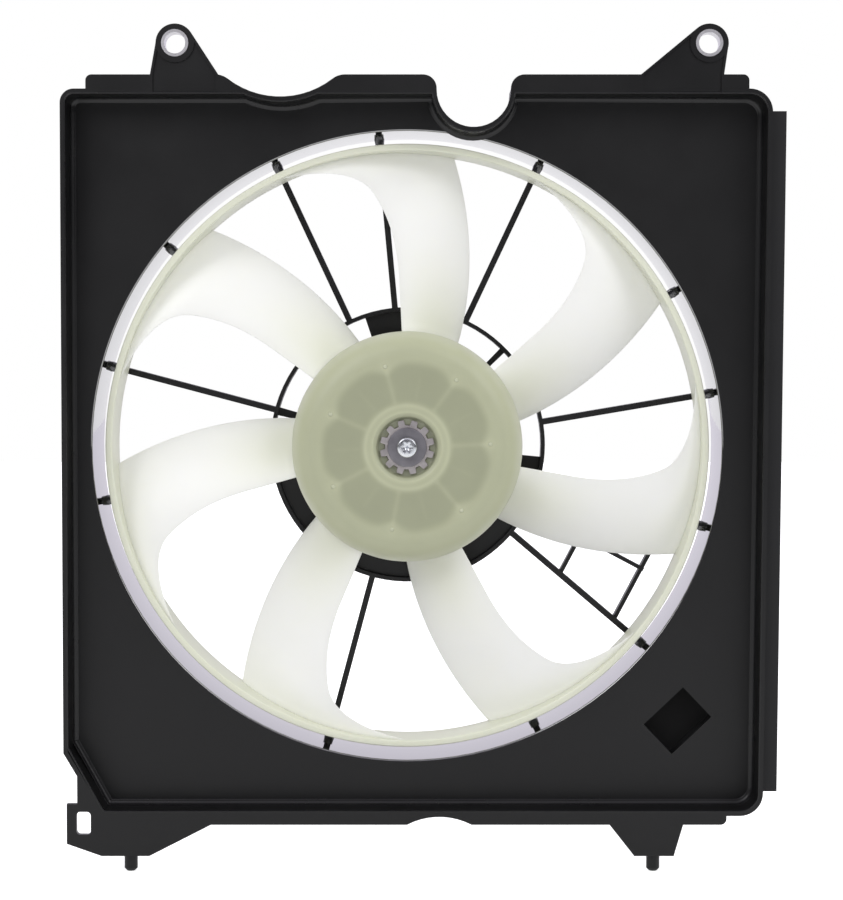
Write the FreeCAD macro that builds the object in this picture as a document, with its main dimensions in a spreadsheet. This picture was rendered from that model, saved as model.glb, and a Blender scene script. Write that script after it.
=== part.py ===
"""Radiator cooling fan: moulded shroud, ring fan and brushed motor, in millimetres.

The fan axis runs along Y. The radiator side is at low Y and the motor at high Y, X is to the right
seen from the radiator, and Z is up. Every sub-part is drawn about the fan axis, with depth counted
from the front edge of the tray, and then placed so that the origin lies midway between the holes
of the two upper ears.
"""
import FreeCAD, Part
import math
import os
import re

import Sketcher
from FreeCAD import Vector

doc = FreeCAD.newDocument("radiator_fan")
sheet = doc.addObject("Spreadsheet::Sheet", "dims")

# Sizes in millimetres and angles in degrees, under the names that the model uses
SIZES = {
    # Barrel, from which the tray and the fan take their size
    "barrel_radius": 187.5,  # inside of the barrel
    # Tray of the shroud
    "left_margin": 14.5,  # tray's left side beyond the barrel
    "right_margin_top": 25.8,  # tray's right side beyond the barrel, at its top
    "right_margin_bottom": 21.8,  # the same at its bottom
    "top_margin": 21.9,  # tray's top above the barrel
    "bottom_margin": 29.0,  # tray's bottom below the barrel
    "tray_depth": 26.0,  # depth of the tray from its front edge
    "cut_width": 22.0,  # width of the cut lower left corner
    "cut_height": 37.0,  # height of the cut lower left corner
    "left_corner": 8.0,  # radius of the upper left corner
    "right_corner": 13.5,  # radius of the right corners
    "wall": 2.6,  # wall of the tray and the barrel
    "skin": 2.5,  # thickness of the tray's floor
    # Filler neck notch and dip in the top edge
    "notch_x": 39.0,  # middle of the notch
    "notch_sink": 0.6,  # notch's centre below the top of the tray
    "notch_radius": 21.6,  # radius of the notch
    "notch_lead": 8.0,  # rounding where the notch meets the top flange
    "dip_x": -73.7,  # middle of the dip
    "dip_rise": 45.4,  # dip's centre above the top of the tray
    "dip_radius": 50.0,  # radius of the dip
    "dip_lead": 12.0,  # rounding at the two ends of the dip
    # Flanges, ears and feet
    "top_flange": 8.2,  # height of the top flange
    "flange_inset_left": 15.0,  # left end of the top flange inside the tray's side
    "flange_inset_right": 14.0,  # right end of the top flange inside the tray's side
    "bottom_flange": 5.2,  # height of the bottom flange
    "flange_inset_end": 21.3,  # right end of the bottom flange inside the tray's side
    "flange_skin": 2.6,  # thickness of the flanges
    "flange_corner": 3.5,  # rounding of the flange ends
    "arch_x": 19.0,  # middle of the arch in the bottom flange
    "arch_half": 19.0,  # half the width of that arch
    "arch_radius": 41.0,  # radius of that arch
    "ear_rise": 26.4,  # ear holes above the top of the tray
    "left_ear_x": -134.9,  # left ear hole
    "right_ear_x": 176.0,  # right ear hole
    "ear_radius": 11.2,  # round end of an ear
    "ear_skin": 5.0,  # thickness of an ear
    "ear_boss_depth": 9.0,  # length of the boss round an ear hole
    "ear_rim": 1.5,  # raised rim along the edge of an ear
    "ear_recess": 1.0,  # depth of the panel inside that rim
    "left_ear_foot": 109.7,  # inner end of the left ear's slope
    "left_ear_lean": 34.0,  # angle at which that slope leaves the round end
    "left_ear_side": 149.4,  # outer side of the left ear at its base
    "right_ear_foot": 136.3,  # inner end of the right ear's slope
    "right_ear_lean": 131.0,  # angle at which that slope leaves the round end
    "right_ear_side": 184.6,  # outer side of the right ear at its base
    "collar_radius": 7.9,  # outside of an ear collar
    "collar_bore": 6.15,  # hole of an ear collar
    "collar_proud": 0.5,  # length of the collar in front of the ear
    "foot_drop": 23.7,  # underside of the feet below the tray
    "foot_shelf": 15.0,  # depth of the shelf under a foot
    "foot_skin": 4.0,  # thickness of a foot's plate
    "foot_web": 2.4,  # thickness of the webs over a foot's shelf
    "left_foot_inner": 115.4,  # inner end of the left foot's slope
    "left_foot_toe": 151.7,  # inner end of the left foot's underside
    "left_foot_heel": 179.8,  # outer end of the left foot's underside
    "right_foot_inner": 119.2,  # inner end of the right foot's slope
    "right_foot_toe": 133.8,  # inner end of the right foot's underside
    "right_foot_heel": 157.0,  # outer end of the right foot's underside
    "right_foot_outer": 162.5,  # outer end of the right foot's slope
    "tab_inset": 1.8,  # slotted tab's left side inside the tray's side
    "tab_rise": 7.1,  # slotted tab's top above the bottom of the tray
    "tab_drop": 16.5,  # slotted tab's lower left below the tray
    "neck_inset": 8.0,  # web above the slotted tab inside the tray's side
    "neck_rise": 27.5,  # top of that web above the bottom of the tray
    "slot_inset": 11.7,  # middle of the slot inside the tray's side
    "slot_drop": 4.3,  # middle of the slot below the tray
    "slot_width": 8.5,  # width of the slot
    "slot_height": 13.5,  # height of the slot
    "slot_corner": 2.3,  # corner radius of the slot
    "left_pin_x": -163.4,  # left lower pin
    "right_pin_x": 145.5,  # right lower pin
    "pin_y": 8.0,  # depth of the pins
    "pin_radius": 3.9,  # radius of the pins
    "pin_length": 10.0,  # length of the pins below the feet
    "pin_tip": 1.5,  # taper at the end of the pins
    # Barrel, struts and motor carrier
    "barrel_end": 74.0,  # rear edge of the barrel
    "barrel_lip": 1.0,  # rounding of the barrel's front edge
    "strut_front": 66.0,  # front edge of the struts
    "strut_back": 77.0,  # rear edge of the struts
    "strut_width": 3.6,  # width of a strut
    "carrier_radius": 84.4,  # outside of the motor carrier's rim
    "carrier_rim": 2.4,  # thickness of the carrier's rim
    "carrier_front": 70.0,  # front face of the carrier plate
    "carrier_skin": 3.0,  # thickness of the carrier plate
    "carrier_window": 60.0,  # inner edge of the carrier's windows
    "rib_width": 2.4,  # width of the harness ribs
    "rib_front": 68.0,  # front edge of the harness ribs
    "rib_back": 76.0,  # rear edge of the harness ribs
    "rib_inner": 123.3,  # distance of the inner harness rib from the axis
    "rib_outer": 167.0,  # distance of the outer harness rib from the axis
    # Square well in the lower right of the tray's floor
    "well_inset_side": 47.7,  # middle of the well inside the tray's side
    "well_inset_bottom": 52.7,  # middle of the well above the tray's bottom
    "well_length": 32.4,  # long side of the well
    "well_width": 24.5,  # short side of the well
    "well_turn": 43.5,  # angle of the long side
    "well_depth": 12.0,  # depth of the well behind the floor's front
    # Seal strip on the right side
    "strip_inset_top": 12.4,  # top of the seal strip below the tray's top
    "strip_inset_bottom": 13.5,  # lower end of the seal strip above the tray's bottom
    "strip_reach": 8.8,  # how far the strip stands out from the wall
    "strip_skin": 2.0,  # thickness of the strip
    "strip_front": 6.0,  # front face of the strip
    "strip_leg": 12.0,  # length of the strip's leg along the wall
    "seat_gap": 0.1,  # clearance between a seated piece and its seat
    # Fan
    "blade_count": 7,  # number of blades
    "hub_radius": 69.0,  # outside of the hub
    "hub_wall": 2.6,  # wall of the hub
    "hub_front": 14.0,  # front face of the hub
    "hub_back": 62.0,  # rear edge of the hub
    "hub_recess": 19.5,  # radius of the shallow recess in the hub's face
    "hub_recess_depth": 1.0,  # depth of that recess
    "hub_shoulder": 17.0,  # rounding of the hub's front edge
    "ring_gap": 8.9,  # gap between the barrel and the fan's ring
    "ring_wall": 2.2,  # wall of the ring
    "ring_front": 28.0,  # front edge of the ring
    "ring_back": 62.0,  # rear edge of the ring
    "ring_lip": 1.8,  # how far the ring's front lip stands out
    "ring_lip_depth": 3.0,  # depth of that lip
    "hub_post_radius": 17.0,  # radius of the post that holds the insert
    "hub_post_depth": 20.0,  # length of that post
    "hub_rib": 2.0,  # thickness of the ribs inside the hub
    "hub_rib_depth": 12.0,  # depth of the ribs inside the hub
    "hub_rib_turn": 2.3,  # angle of the first rib inside the hub
    "trail_root": 12.0,  # angle of the trailing edge at the hub
    "trail_sweep": 0.161,  # degrees that the trailing edge turns for each millimetre outwards
    "lead_root": 41.3,  # angle of the leading edge at the hub
    "lead_sweep": 0.00175,  # growth of the leading edge's sweep with the square of the distance
    "lead_reach": 31.0,  # distance from the hub where the leading edge begins to sweep
    "hook_reach": 26.4,  # length of the leading edge's hook at the ring
    "hook_angle": 12.0,  # angle that the hook adds at the ring
    "blade_front_root": 31.0,  # front of a blade at the hub
    "blade_front_tip": 33.0,  # front of a blade at the ring
    "blade_back_root": 58.0,  # rear of a blade at the hub
    "blade_back_tip": 56.0,  # rear of a blade at the ring
    "blade_thick": 3.0,  # thickness of a blade along the axis at mid chord
    "blade_edge": 1.3,  # thickness of a blade's edges
    "blade_camber": 0.35,  # camber of a blade as a share of its depth
    # Drive insert, washer and screw
    "insert_teeth": 12,  # number of teeth on the insert
    "insert_tip": 14.4,  # radius of the teeth's tips
    "insert_root": 12.1,  # radius between the teeth
    "tooth_width": 3.4,  # width of a tooth of the insert
    "tooth_turn": 13.4,  # angle of the first tooth
    "insert_front": 15.5,  # front face of the insert
    "insert_length": 14.0,  # length of the insert
    "washer_radius": 10.6,  # outside of the washer
    "washer_thick": 1.5,  # thickness of the washer
    "screw_head": 5.8,  # radius of the screw's head
    "screw_head_length": 4.0,  # height of the screw's head
    "screw_shank": 2.5,  # radius of the screw's shank
    "screw_length": 16.0,  # length of the screw's shank
    "socket_radius": 3.0,  # radius of the socket in the screw's head
    "socket_depth": 2.4,  # depth of that socket
    "fit_gap": 0.05,  # radial clearance of turned fits
    # Motor
    "shoulder_radius": 6.0,  # radius of the shaft's shoulder
    "shoulder_length": 2.0,  # length of the shaft's shoulder
    "shaft_radius": 4.0,  # radius of the shaft
    "shaft_inset": 4.0,  # rear end of the shaft inside that boss
    "can_radius": 50.0,  # outside of the motor can
    "can_wall": 2.0,  # wall of the motor can
    "can_end": 120.0,  # rear face of the motor can
    "can_corner": 5.0,  # rounding of the can's rear edge
    "can_boss": 10.0,  # length of the can's bearing boss
    "bearing_radius": 10.0,  # outside of a bearing
    "bearing_length": 9.0,  # length of a bearing
    "boss_radius": 12.5,  # outside of a bearing boss
    "bracket_front": 58.0,  # front face of the motor bracket
    "bracket_skin": 2.5,  # thickness of the motor bracket
    "bracket_boss_front": 50.0,  # front of the bracket's bearing boss
    "lug_radius": 66.0,  # reach of the motor lugs
    "lug_width": 15.0,  # width of a motor lug
    "lug_count": 3,  # number of motor lugs
    "lug_turn": 90.0,  # angle of the first motor lug
    "lug_margin": 7.5,  # lug screws inside the ends of the lugs
    "lug_screw_shank": 2.5,  # radius of a lug screw's shank
    "lug_screw_head": 4.6,  # radius of a lug screw's head
    "lug_screw_head_length": 3.2,  # height of a lug screw's head
    "lug_screw_length": 10.0,  # length of a lug screw's shank
    "lug_screw_play": 0.3,  # radial play of a lug screw in its lug
    "lug_boss": 5.0,  # radius of the screw bosses on the carrier
    "lug_boss_length": 9.0,  # length of the screw bosses
    "can_gap": 0.8,  # clearance of the can in the carrier
    "core_radius": 37.5,  # outside of the armature core
    "core_front": 82.0,  # front face of the armature core
    "core_length": 24.0,  # length of the armature core
    "core_slots": 12,  # number of winding slots
    "slot_opening": 4.0,  # width of a winding slot
    "slot_floor": 18.0,  # radius of the slots' floor
    "coil_radius": 33.0,  # outside of a coil head
    "coil_inner": 12.0,  # inside of a coil head
    "coil_length": 6.0,  # length of a coil head
    "commutator_radius": 11.0,  # outside of the commutator
    "commutator_front": 65.5,  # front of the commutator
    "commutator_length": 10.0,  # length of the commutator
    "bar_cut": 0.8,  # width of the cuts between the commutator's bars
    "magnet_count": 4,  # number of magnets
    "magnet_thick": 9.0,  # thickness of a magnet
    "magnet_length": 32.0,  # length of a magnet
    "magnet_front": 78.0,  # front of the magnets
    "magnet_span": 74.0,  # angle that a magnet covers
    "card_inner": 16.0,  # hole of the brush card
    "card_front": 63.0,  # front of the brush card
    "card_skin": 2.4,  # thickness of the brush card
    "brush_width": 6.0,  # width of a brush
    "brush_height": 7.0,  # height of a brush
    "brush_length": 12.0,  # length of a brush
    "brush_gap": 0.2,  # clearance between a brush and the commutator
    "brush_turn": 25.0,  # angle of the first brush
    "spring_length": 9.0,  # space behind a brush for its spring
    "brush_lead": 4.0,  # length of the brush in front of its holder
    "spring_radius": 2.4,  # outside of a brush spring
    "spring_wire": 0.8,  # wire of a brush spring
    "clip_radius": 6.5,  # outside of the shaft clip and the thrust washer
    "clip_thick": 1.0,  # thickness of the shaft clip and the thrust washer
    "card_screw_radius": 38.0,  # distance of the card screws from the axis
    "card_screw_count": 2,  # number of card screws
    "card_screw_turn": 115.0,  # angle of the first card screw
    "card_screw_shank": 1.5,  # radius of a card screw's shank
    "card_screw_head": 3.0,  # radius of a card screw's head
    "card_screw_head_length": 1.8,  # height of a card screw's head
    "card_screw_length": 5.5,  # length of a card screw's shank
    "card_post": 4.0,  # radius of the posts under the card
    "holder_wall": 1.2,  # wall of a brush holder
    # Electrical inlet on the motor
    "plug_turn": 0.0,  # angle of the motor's inlet about the axis
    "plug_width": 22.0,  # width of the inlet
    "plug_height": 15.0,  # height of the inlet
    "plug_length": 20.0,  # length of the inlet
    "plug_wall": 1.8,  # wall of the inlet
    "plug_floor": 4.0,  # thickness of the inlet's floor
    "plug_front": 84.0,  # front of the inlet
    "terminal_width": 6.3,  # width of a terminal blade
    "terminal_thick": 0.8,  # thickness of a terminal blade
    "terminal_length": 11.0,  # length of a terminal blade
    "terminal_pitch": 9.0,  # distance between the terminals
    # Angles of the struts round the axis, counterclockwise from the right
    "strut_1": 9.6,
    "strut_2": 29.8,
    "strut_3": 64.8,
    "strut_4": 95.3,
    "strut_5": 115.1,
    "strut_6": 140.4,
    "strut_7": 165.2,
    "strut_8": 190.5,
    "strut_9": 255.0,
    "strut_10": 294.4,
    "strut_11": 319.6,
    "strut_12": 344.5,
    # First and last edge of each window in the carrier, as angles
    "window_1_begin": -5.3,
    "window_1_end": 43.5,
    "window_2_begin": 46.1,
    "window_2_end": 69.8,
    "window_3_begin": 108.5,
    "window_3_end": 163.8,
    "window_4_begin": 167.3,
    "window_4_end": 189.6,
}

# Sizes that follow from others
DERIVED = {
    "tray_left": "barrel_radius + left_margin",
    "tray_right_top": "barrel_radius + right_margin_top",
    "tray_right_bottom": "barrel_radius + right_margin_bottom",
    "tray_top": "barrel_radius + top_margin",
    "tray_bottom": "barrel_radius + bottom_margin",
    "notch_z": "tray_top - notch_sink",
    "dip_z": "tray_top + dip_rise",
    "flange_top": "tray_top + top_flange",
    "flange_left": "tray_left - flange_inset_left",
    "flange_right": "tray_right_top - flange_inset_right",
    "flange_bottom": "tray_bottom + bottom_flange",
    "flange_end": "tray_right_bottom - flange_inset_end",
    "ear_z": "tray_top + ear_rise",
    "foot_bottom": "tray_bottom + foot_drop",
    "tab_left": "tray_left - tab_inset",
    "tab_top": "tray_bottom - tab_rise",
    "tab_bottom": "tray_bottom + tab_drop",
    "tab_neck": "tray_left - neck_inset",
    "tab_neck_top": "tray_bottom - neck_rise",
    "slot_x": "-(tray_left - slot_inset)",
    "slot_z": "-(tray_bottom + slot_drop)",
    "strip_top": "tray_top - strip_inset_top",
    "strip_bottom": "tray_bottom - strip_inset_bottom",
    "well_x": "tray_right_bottom - well_inset_side",
    "well_z": "-(tray_bottom - well_inset_bottom)",
    "ring_radius": "barrel_radius - ring_gap",
    "lead_start": "hub_radius + lead_reach",
    "hook_start": "ring_radius - ring_wall - hook_reach",
    "lug_screw_radius": "lug_radius - lug_margin",
    "can_tail": "can_end + can_boss",
    "shaft_end": "can_tail - shaft_inset",
}

# Numbers of struts and windows, whose angles follow no pattern
STRUT_COUNT = 12
WINDOW_COUNT = 4

# Fineness of the worked out shapes
BLADE_STATIONS = 8
CHORD_STATIONS = 6
SPRING_TURNS = 4

for row, (alias, number) in enumerate(SIZES.items(), 1):
    sheet.set("A%d" % row, alias.replace("_", " "))
    sheet.set("B%d" % row, repr(number))
    sheet.setAlias("B%d" % row, alias)
doc.recompute()


def formula(text):
    """Writes the sheet's name before each size, and each size that follows from others in full."""
    def in_full(word):
        if word[0] in DERIVED:
            return "(%s)" % formula(DERIVED[word[0]])
        return "dims." + word[0] if word[0] in SIZES else word[0]
    return re.sub(r"[a-z][a-z_0-9]+", in_full, str(text))


def value(text):
    """Works out a formula as a plain number."""
    return float(sheet.evalExpression(formula(text)))


def new_body(name):
    """Starts a sub-part whose origin lies on the fan axis, at the depth of the ear collars."""
    body = doc.addObject("PartDesign::Body", name)
    body.Label = name
    place_on_axis(body)
    return body


def place_on_axis(thing, across="0", depth="0", up="0"):
    """Sets a sub-part about the fan axis, seen from the origin between the ear holes."""
    thing.setExpression("Placement.Base.x", formula("%s - (left_ear_x + right_ear_x) / 2" % across))
    thing.setExpression("Placement.Base.y", formula("%s + collar_proud" % depth))
    thing.setExpression("Placement.Base.z", formula("%s - ear_z" % up))


def plane_sketch(body, name, role, offset="0"):
    """Adds a sketch on one of the body's origin planes, moved along its normal."""
    sketch = body.newObject("Sketcher::SketchObject", name)
    plane = [item for item in body.Origin.OriginFeatures if item.Role == role][0]
    sketch.AttachmentSupport = [(plane, "")]
    sketch.MapMode = "FlatFace"
    sketch.setExpression("AttachmentOffset.Base.z", formula(offset))
    return sketch


def facing(body, name, depth):
    """Adds a sketch seen from the radiator, at a depth behind the tray's front edge."""
    return plane_sketch(body, name, "XZ_Plane", "-(%s)" % depth)


def held(sketch, kind, where, text):
    """Holds one coordinate of a sketch point at a formula."""
    index = sketch.addConstraint(Sketcher.Constraint(kind, -1, 1, where[0], where[1], value(text)))
    sketch.setExpression("Constraints[%d]" % index, formula(text))


def loop(sketch, corners):
    """Draws a closed outline. A corner is (x, z), or (x, z, radius, through_x, through_z) where an
    arc of that radius, passing near that point, runs to the next corner."""
    spots = [Vector(value(corner[0]), value(corner[1]), 0) for corner in corners]
    ends = []
    for number, corner in enumerate(corners):
        start = spots[number]
        stop = spots[(number + 1) % len(corners)]
        if len(corner) == 2:
            edge = sketch.addGeometry(Part.LineSegment(start, stop))
            ends.append((edge, 1, 2))
            continue
        through = Vector(value(corner[3]), value(corner[4]), 0)
        turns_left = (through - start).cross(stop - through).z > 0
        if turns_left:
            edge = sketch.addGeometry(Part.Arc(start, through, stop))
            ends.append((edge, 1, 2))
        else:
            edge = sketch.addGeometry(Part.Arc(stop, through, start))
            ends.append((edge, 2, 1))
        index = sketch.addConstraint(Sketcher.Constraint("Radius", edge, value(corner[2])))
        sketch.setExpression("Constraints[%d]" % index, formula(corner[2]))
    for number, corner in enumerate(corners):
        edge, begin, _ = ends[number]
        before, _, finish = ends[number - 1]
        sketch.addConstraint(Sketcher.Constraint("Coincident", before, finish, edge, begin))
        held(sketch, "DistanceX", (edge, begin), corner[0])
        held(sketch, "DistanceY", (edge, begin), corner[1])


def circle(sketch, x, z, radius):
    """Draws a circle whose centre and radius follow formulas."""
    centre = Vector(value(x), value(z), 0)
    edge = sketch.addGeometry(Part.Circle(centre, Vector(0, 0, 1), value(radius)))
    held(sketch, "DistanceX", (edge, 3), x)
    held(sketch, "DistanceY", (edge, 3), z)
    index = sketch.addConstraint(Sketcher.Constraint("Radius", edge, value(radius)))
    sketch.setExpression("Constraints[%d]" % index, formula(radius))


def turned_box(x, z, turn, along, across, shift_along="0", shift_across="0"):
    """Gives the corners of a rectangle turned about a point, with its middle shifted from it."""
    corners = []
    for side_along, side_across in ((-1, -1), (1, -1), (1, 1), (-1, 1)):
        run = "((%s) + %d * (%s) / 2)" % (shift_along, side_along, along)
        rise = "((%s) + %d * (%s) / 2)" % (shift_across, side_across, across)
        corners.append(("%s + %s * cos(%s) - %s * sin(%s)" % (x, run, turn, rise, turn),
                        "%s + %s * sin(%s) + %s * cos(%s)" % (z, run, turn, rise, turn)))
    return corners


def pad(body, name, sketch, length):
    """Adds material from the sketch towards the motor."""
    feature = body.newObject("PartDesign::Pad", name)
    feature.Profile = sketch
    feature.Reversed = True
    feature.setExpression("Length", formula(length))
    return feature


def pocket(body, name, sketch, length):
    """Takes material away from the sketch towards the motor."""
    feature = body.newObject("PartDesign::Pocket", name)
    feature.Profile = sketch
    feature.setExpression("Length", formula(length))
    return feature


def revolved(body, name, corners, kind="PartDesign::Revolution"):
    """Turns an outline of (radius, depth) corners about the fan axis."""
    sketch = plane_sketch(body, name + "_outline", "XY_Plane")
    loop(sketch, corners)
    feature = body.newObject(kind, name)
    feature.Profile = sketch
    feature.ReferenceAxis = (sketch, ["V_Axis"])
    feature.Angle = 360
    return feature


def turned_part(name, corners):
    """Makes a sub-part that is one turned shape about the fan axis."""
    body = new_body(name)
    revolved(body, name + "_turned", corners)
    return body


def tube_corners(inner, outer, front, back):
    """Gives the outline of a plain tube about the fan axis."""
    return [(inner, front), (outer, front), (outer, back), (inner, back)]


def around(body, name, features, count):
    """Repeats features evenly about the fan axis."""
    pattern = body.newObject("PartDesign::PolarPattern", name)
    pattern.Originals = features
    axis = [item for item in body.Origin.OriginFeatures if item.Role == "Y_Axis"][0]
    pattern.Axis = (axis, [""])
    pattern.Angle = 360
    pattern.setExpression("Occurrences", formula(count))
    body.Tip = pattern
    return pattern


def rectangle(left, right, low, high):
    """Gives the corners of an upright rectangle."""
    return [(left, low), (right, low), (right, high), (left, high)]


def sector(inner, outer, begin, end):
    """Gives the outline of a sector of a ring about the fan axis."""
    middle = "((%s + %s) / 2)" % (begin, end)
    return [
        ("%s * cos(%s)" % (inner, begin), "%s * sin(%s)" % (inner, begin)),
        ("(%s) * cos(%s)" % (outer, begin), "(%s) * sin(%s)" % (outer, begin), outer,
         "(%s) * cos(%s)" % (outer, middle), "(%s) * sin(%s)" % (outer, middle)),
        ("(%s) * cos(%s)" % (outer, end), "(%s) * sin(%s)" % (outer, end)),
        ("%s * cos(%s)" % (inner, end), "%s * sin(%s)" % (inner, end), inner,
         "%s * cos(%s)" % (inner, middle), "%s * sin(%s)" % (inner, middle)),
    ]


def arc_half(radius, centre, level):
    """Gives half the width of a circle where a level line cuts it."""
    return "sqrt((%s) ^ 2 - (%s - (%s)) ^ 2)" % (radius, centre, level)


def dressed(kind, body, name, amount, wanted):
    """Rounds or chamfers the edges of the body for which the test holds."""
    doc.recompute()
    base = body.Tip
    names = ["Edge%d" % number for number, edge in enumerate(base.Shape.Edges, 1) if wanted(edge)]
    if not names:
        raise RuntimeError("no edge to dress for " + name)
    feature = body.newObject("PartDesign::" + kind, name)
    feature.Base = (base, names)
    feature.setExpression("Radius" if kind == "Fillet" else "Size", formula(amount))
    return feature


def round_corners(body, name, radius, spots):
    """Rounds the edges that run along the depth at points given by formulas."""
    wanted = [(value(x), value(z)) for x, z in spots]
    return dressed("Fillet", body, name, radius,
                   lambda edge: any(runs_deep(edge, x, z) for x, z in wanted))


def runs_deep(edge, x, z, reach=0.05):
    """Tells whether an edge runs along the depth at a point seen from the radiator."""
    points = [vertex.Point for vertex in edge.Vertexes]
    at_spot = all(abs(point.x - x) < reach and abs(point.z - z) < reach for point in points)
    return at_spot and abs(points[0].y - points[-1].y) > reach


def on_level(edge, height):
    """Tells whether an edge lies at one height."""
    return abs(edge.BoundBox.ZMax - height) < 0.01 and edge.BoundBox.ZLength < 0.01


def at_depth(edge, depth, radius):
    """Tells whether an edge is a circle about the fan axis at a depth."""
    box = edge.BoundBox
    flat = box.YLength < 0.01 and abs(box.YMax - depth) < 0.01
    return flat and abs(box.XMax - radius) < 0.05 and abs(box.ZMax - radius) < 0.05


def build_shroud():
    """Moulds the tray with its flanges, ears, feet, barrel, struts and motor carrier."""
    body = new_body("shroud")
    tray = facing(body, "tray_outline", "0")
    loop(tray, [
        ("-tray_left", "-tray_bottom + cut_height"),
        ("-tray_left + cut_width", "-tray_bottom"),
        ("tray_right_bottom", "-tray_bottom"),
        ("tray_right_top", "tray_top"),
        ("-tray_left", "tray_top"),
    ])
    pad(body, "tray_block", tray, "tray_depth")
    add_flanges(body)
    for side in ("left", "right"):
        add_ear(body, side)
    add_feet(body)
    mouth = facing(body, "mouth_outline", "0")
    loop(mouth, mouth_corners())
    pocket(body, "mouth", mouth, "tray_depth - skin")
    round_tray(body)
    add_well(body)
    add_barrel(body)
    add_struts(body)
    add_carrier(body)
    add_harness_ribs(body)
    return body


def mouth_corners():
    """Gives the inside of the tray's wall, counterclockwise from the lower left."""
    run = "sqrt(cut_width ^ 2 + cut_height ^ 2)"
    top = "(tray_top - wall)"
    notch_half = arc_half("notch_radius + wall", "notch_z", top)
    dip_half = arc_half("dip_radius + wall", "dip_z", top)
    return [
        ("-tray_left + wall",
         "-tray_bottom + cut_height + wall * (%s - cut_height) / cut_width" % run),
        ("-tray_left + cut_width + wall * (%s - cut_width) / cut_height" % run,
         "-tray_bottom + wall"),
        ("tray_right_bottom - wall", "-tray_bottom + wall"),
        ("tray_right_top - wall", top),
        ("notch_x + " + notch_half, top, "notch_radius + wall",
         "notch_x", "notch_z - notch_radius - wall"),
        ("notch_x - " + notch_half, top),
        ("dip_x + " + dip_half, top, "dip_radius + wall", "dip_x", "dip_z - dip_radius - wall"),
        ("dip_x - " + dip_half, top),
        ("-tray_left + wall", top),
    ]


def round_tray(body):
    """Rounds the tray's corners, first inside its wall and then outside."""
    inner = "tray_right_top - wall", "tray_right_bottom - wall"
    round_corners(body, "left_corner_inside", "left_corner - wall",
                  [("-tray_left + wall", "tray_top - wall")])
    round_corners(body, "right_corner_inside", "right_corner - wall",
                  [(inner[0], "tray_top - wall"), (inner[1], "-tray_bottom + wall")])
    round_corners(body, "left_corner_round", "left_corner", [("-tray_left", "tray_top")])
    round_corners(body, "right_corner_round", "right_corner",
                  [("tray_right_top", "tray_top"), ("tray_right_bottom", "-tray_bottom")])


def add_flanges(body):
    """Adds the flat flanges above and below the tray, and cuts the notch, the dip and the arch."""
    top = facing(body, "top_flange_outline", "0")
    loop(top, rectangle("-flange_left", "flange_right", "tray_top - left_corner", "flange_top"))
    pad(body, "top_flange", top, "flange_skin")
    low = facing(body, "bottom_flange_outline", "0")
    loop(low, rectangle("-left_foot_inner", "flange_end", "-flange_bottom", "-tray_bottom + wall"))
    pad(body, "bottom_flange", low, "flange_skin")
    notch = facing(body, "notch_outline", "0")
    circle(notch, "notch_x", "notch_z", "notch_radius")
    pocket(body, "notch", notch, "tray_depth")
    gate = facing(body, "gate_outline", "0")
    loop(gate, rectangle("notch_x - notch_radius", "notch_x + notch_radius", "notch_z",
                         "flange_top + wall"))
    pocket(body, "notch_gate", gate, "tray_depth")
    dip = facing(body, "dip_outline", "0")
    circle(dip, "dip_x", "dip_z", "dip_radius")
    pocket(body, "dip", dip, "tray_depth")
    arch = facing(body, "arch_outline", "0")
    circle(arch, "arch_x", "-flange_bottom - sqrt(arch_radius ^ 2 - arch_half ^ 2)", "arch_radius")
    pocket(body, "arch", arch, "flange_skin")
    half = arc_half("dip_radius", "dip_z", "flange_top")
    round_corners(body, "notch_round", "notch_lead", [
        ("notch_x - notch_radius", "flange_top"), ("notch_x + notch_radius", "flange_top")])
    round_corners(body, "dip_round", "dip_lead", [
        ("dip_x - " + half, "flange_top"), ("dip_x + " + half, "flange_top")])
    round_corners(body, "flange_round", "flange_corner", [
        ("-flange_left", "flange_top"), ("flange_right", "flange_top"),
        ("flange_end", "-flange_bottom")])


def ear_corners(side, inset):
    """Gives the outline of an ear, moved inwards by an inset."""
    x = side + "_ear_x"
    lean = side + "_ear_lean"
    sign = "-" if side == "left" else "+"
    outer = "(%s1) * (%s_ear_side - %s)" % (sign, side, inset)
    inner = "-left_ear_foot - %s" % inset if side == "left" else "right_ear_foot + %s" % inset
    reach = "(ear_radius - %s)" % inset
    base = "tray_top - left_corner"
    return [
        (outer, base),
        (outer, "flange_top"),
        ("%s %s %s" % (x, sign, reach), "ear_z", reach, x, "ear_z + " + reach),
        ("%s + %s * cos(%s)" % (x, reach, lean), "ear_z + %s * sin(%s)" % (reach, lean)),
        (inner, "flange_top"),
        (inner, base),
    ]


def add_ear(body, side):
    """Adds one upper ear: a plate with a raised rim, and a boss that holds the collar."""
    x = side + "_ear_x"
    plate = facing(body, side + "_ear_outline", "0")
    loop(plate, ear_corners(side, "0"))
    pad(body, side + "_ear", plate, "ear_skin")
    panel = facing(body, side + "_panel_outline", "0")
    loop(panel, ear_corners(side, "ear_rim"))
    pocket(body, side + "_panel", panel, "ear_recess")
    boss = facing(body, side + "_boss_outline", "0")
    circle(boss, x, "ear_z", "ear_radius")
    pad(body, side + "_boss", boss, "ear_boss_depth")
    hole = facing(body, side + "_hole_outline", "0")
    circle(hole, x, "ear_z", "collar_radius + fit_gap")
    pocket(body, side + "_hole", hole, "ear_boss_depth")


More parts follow.
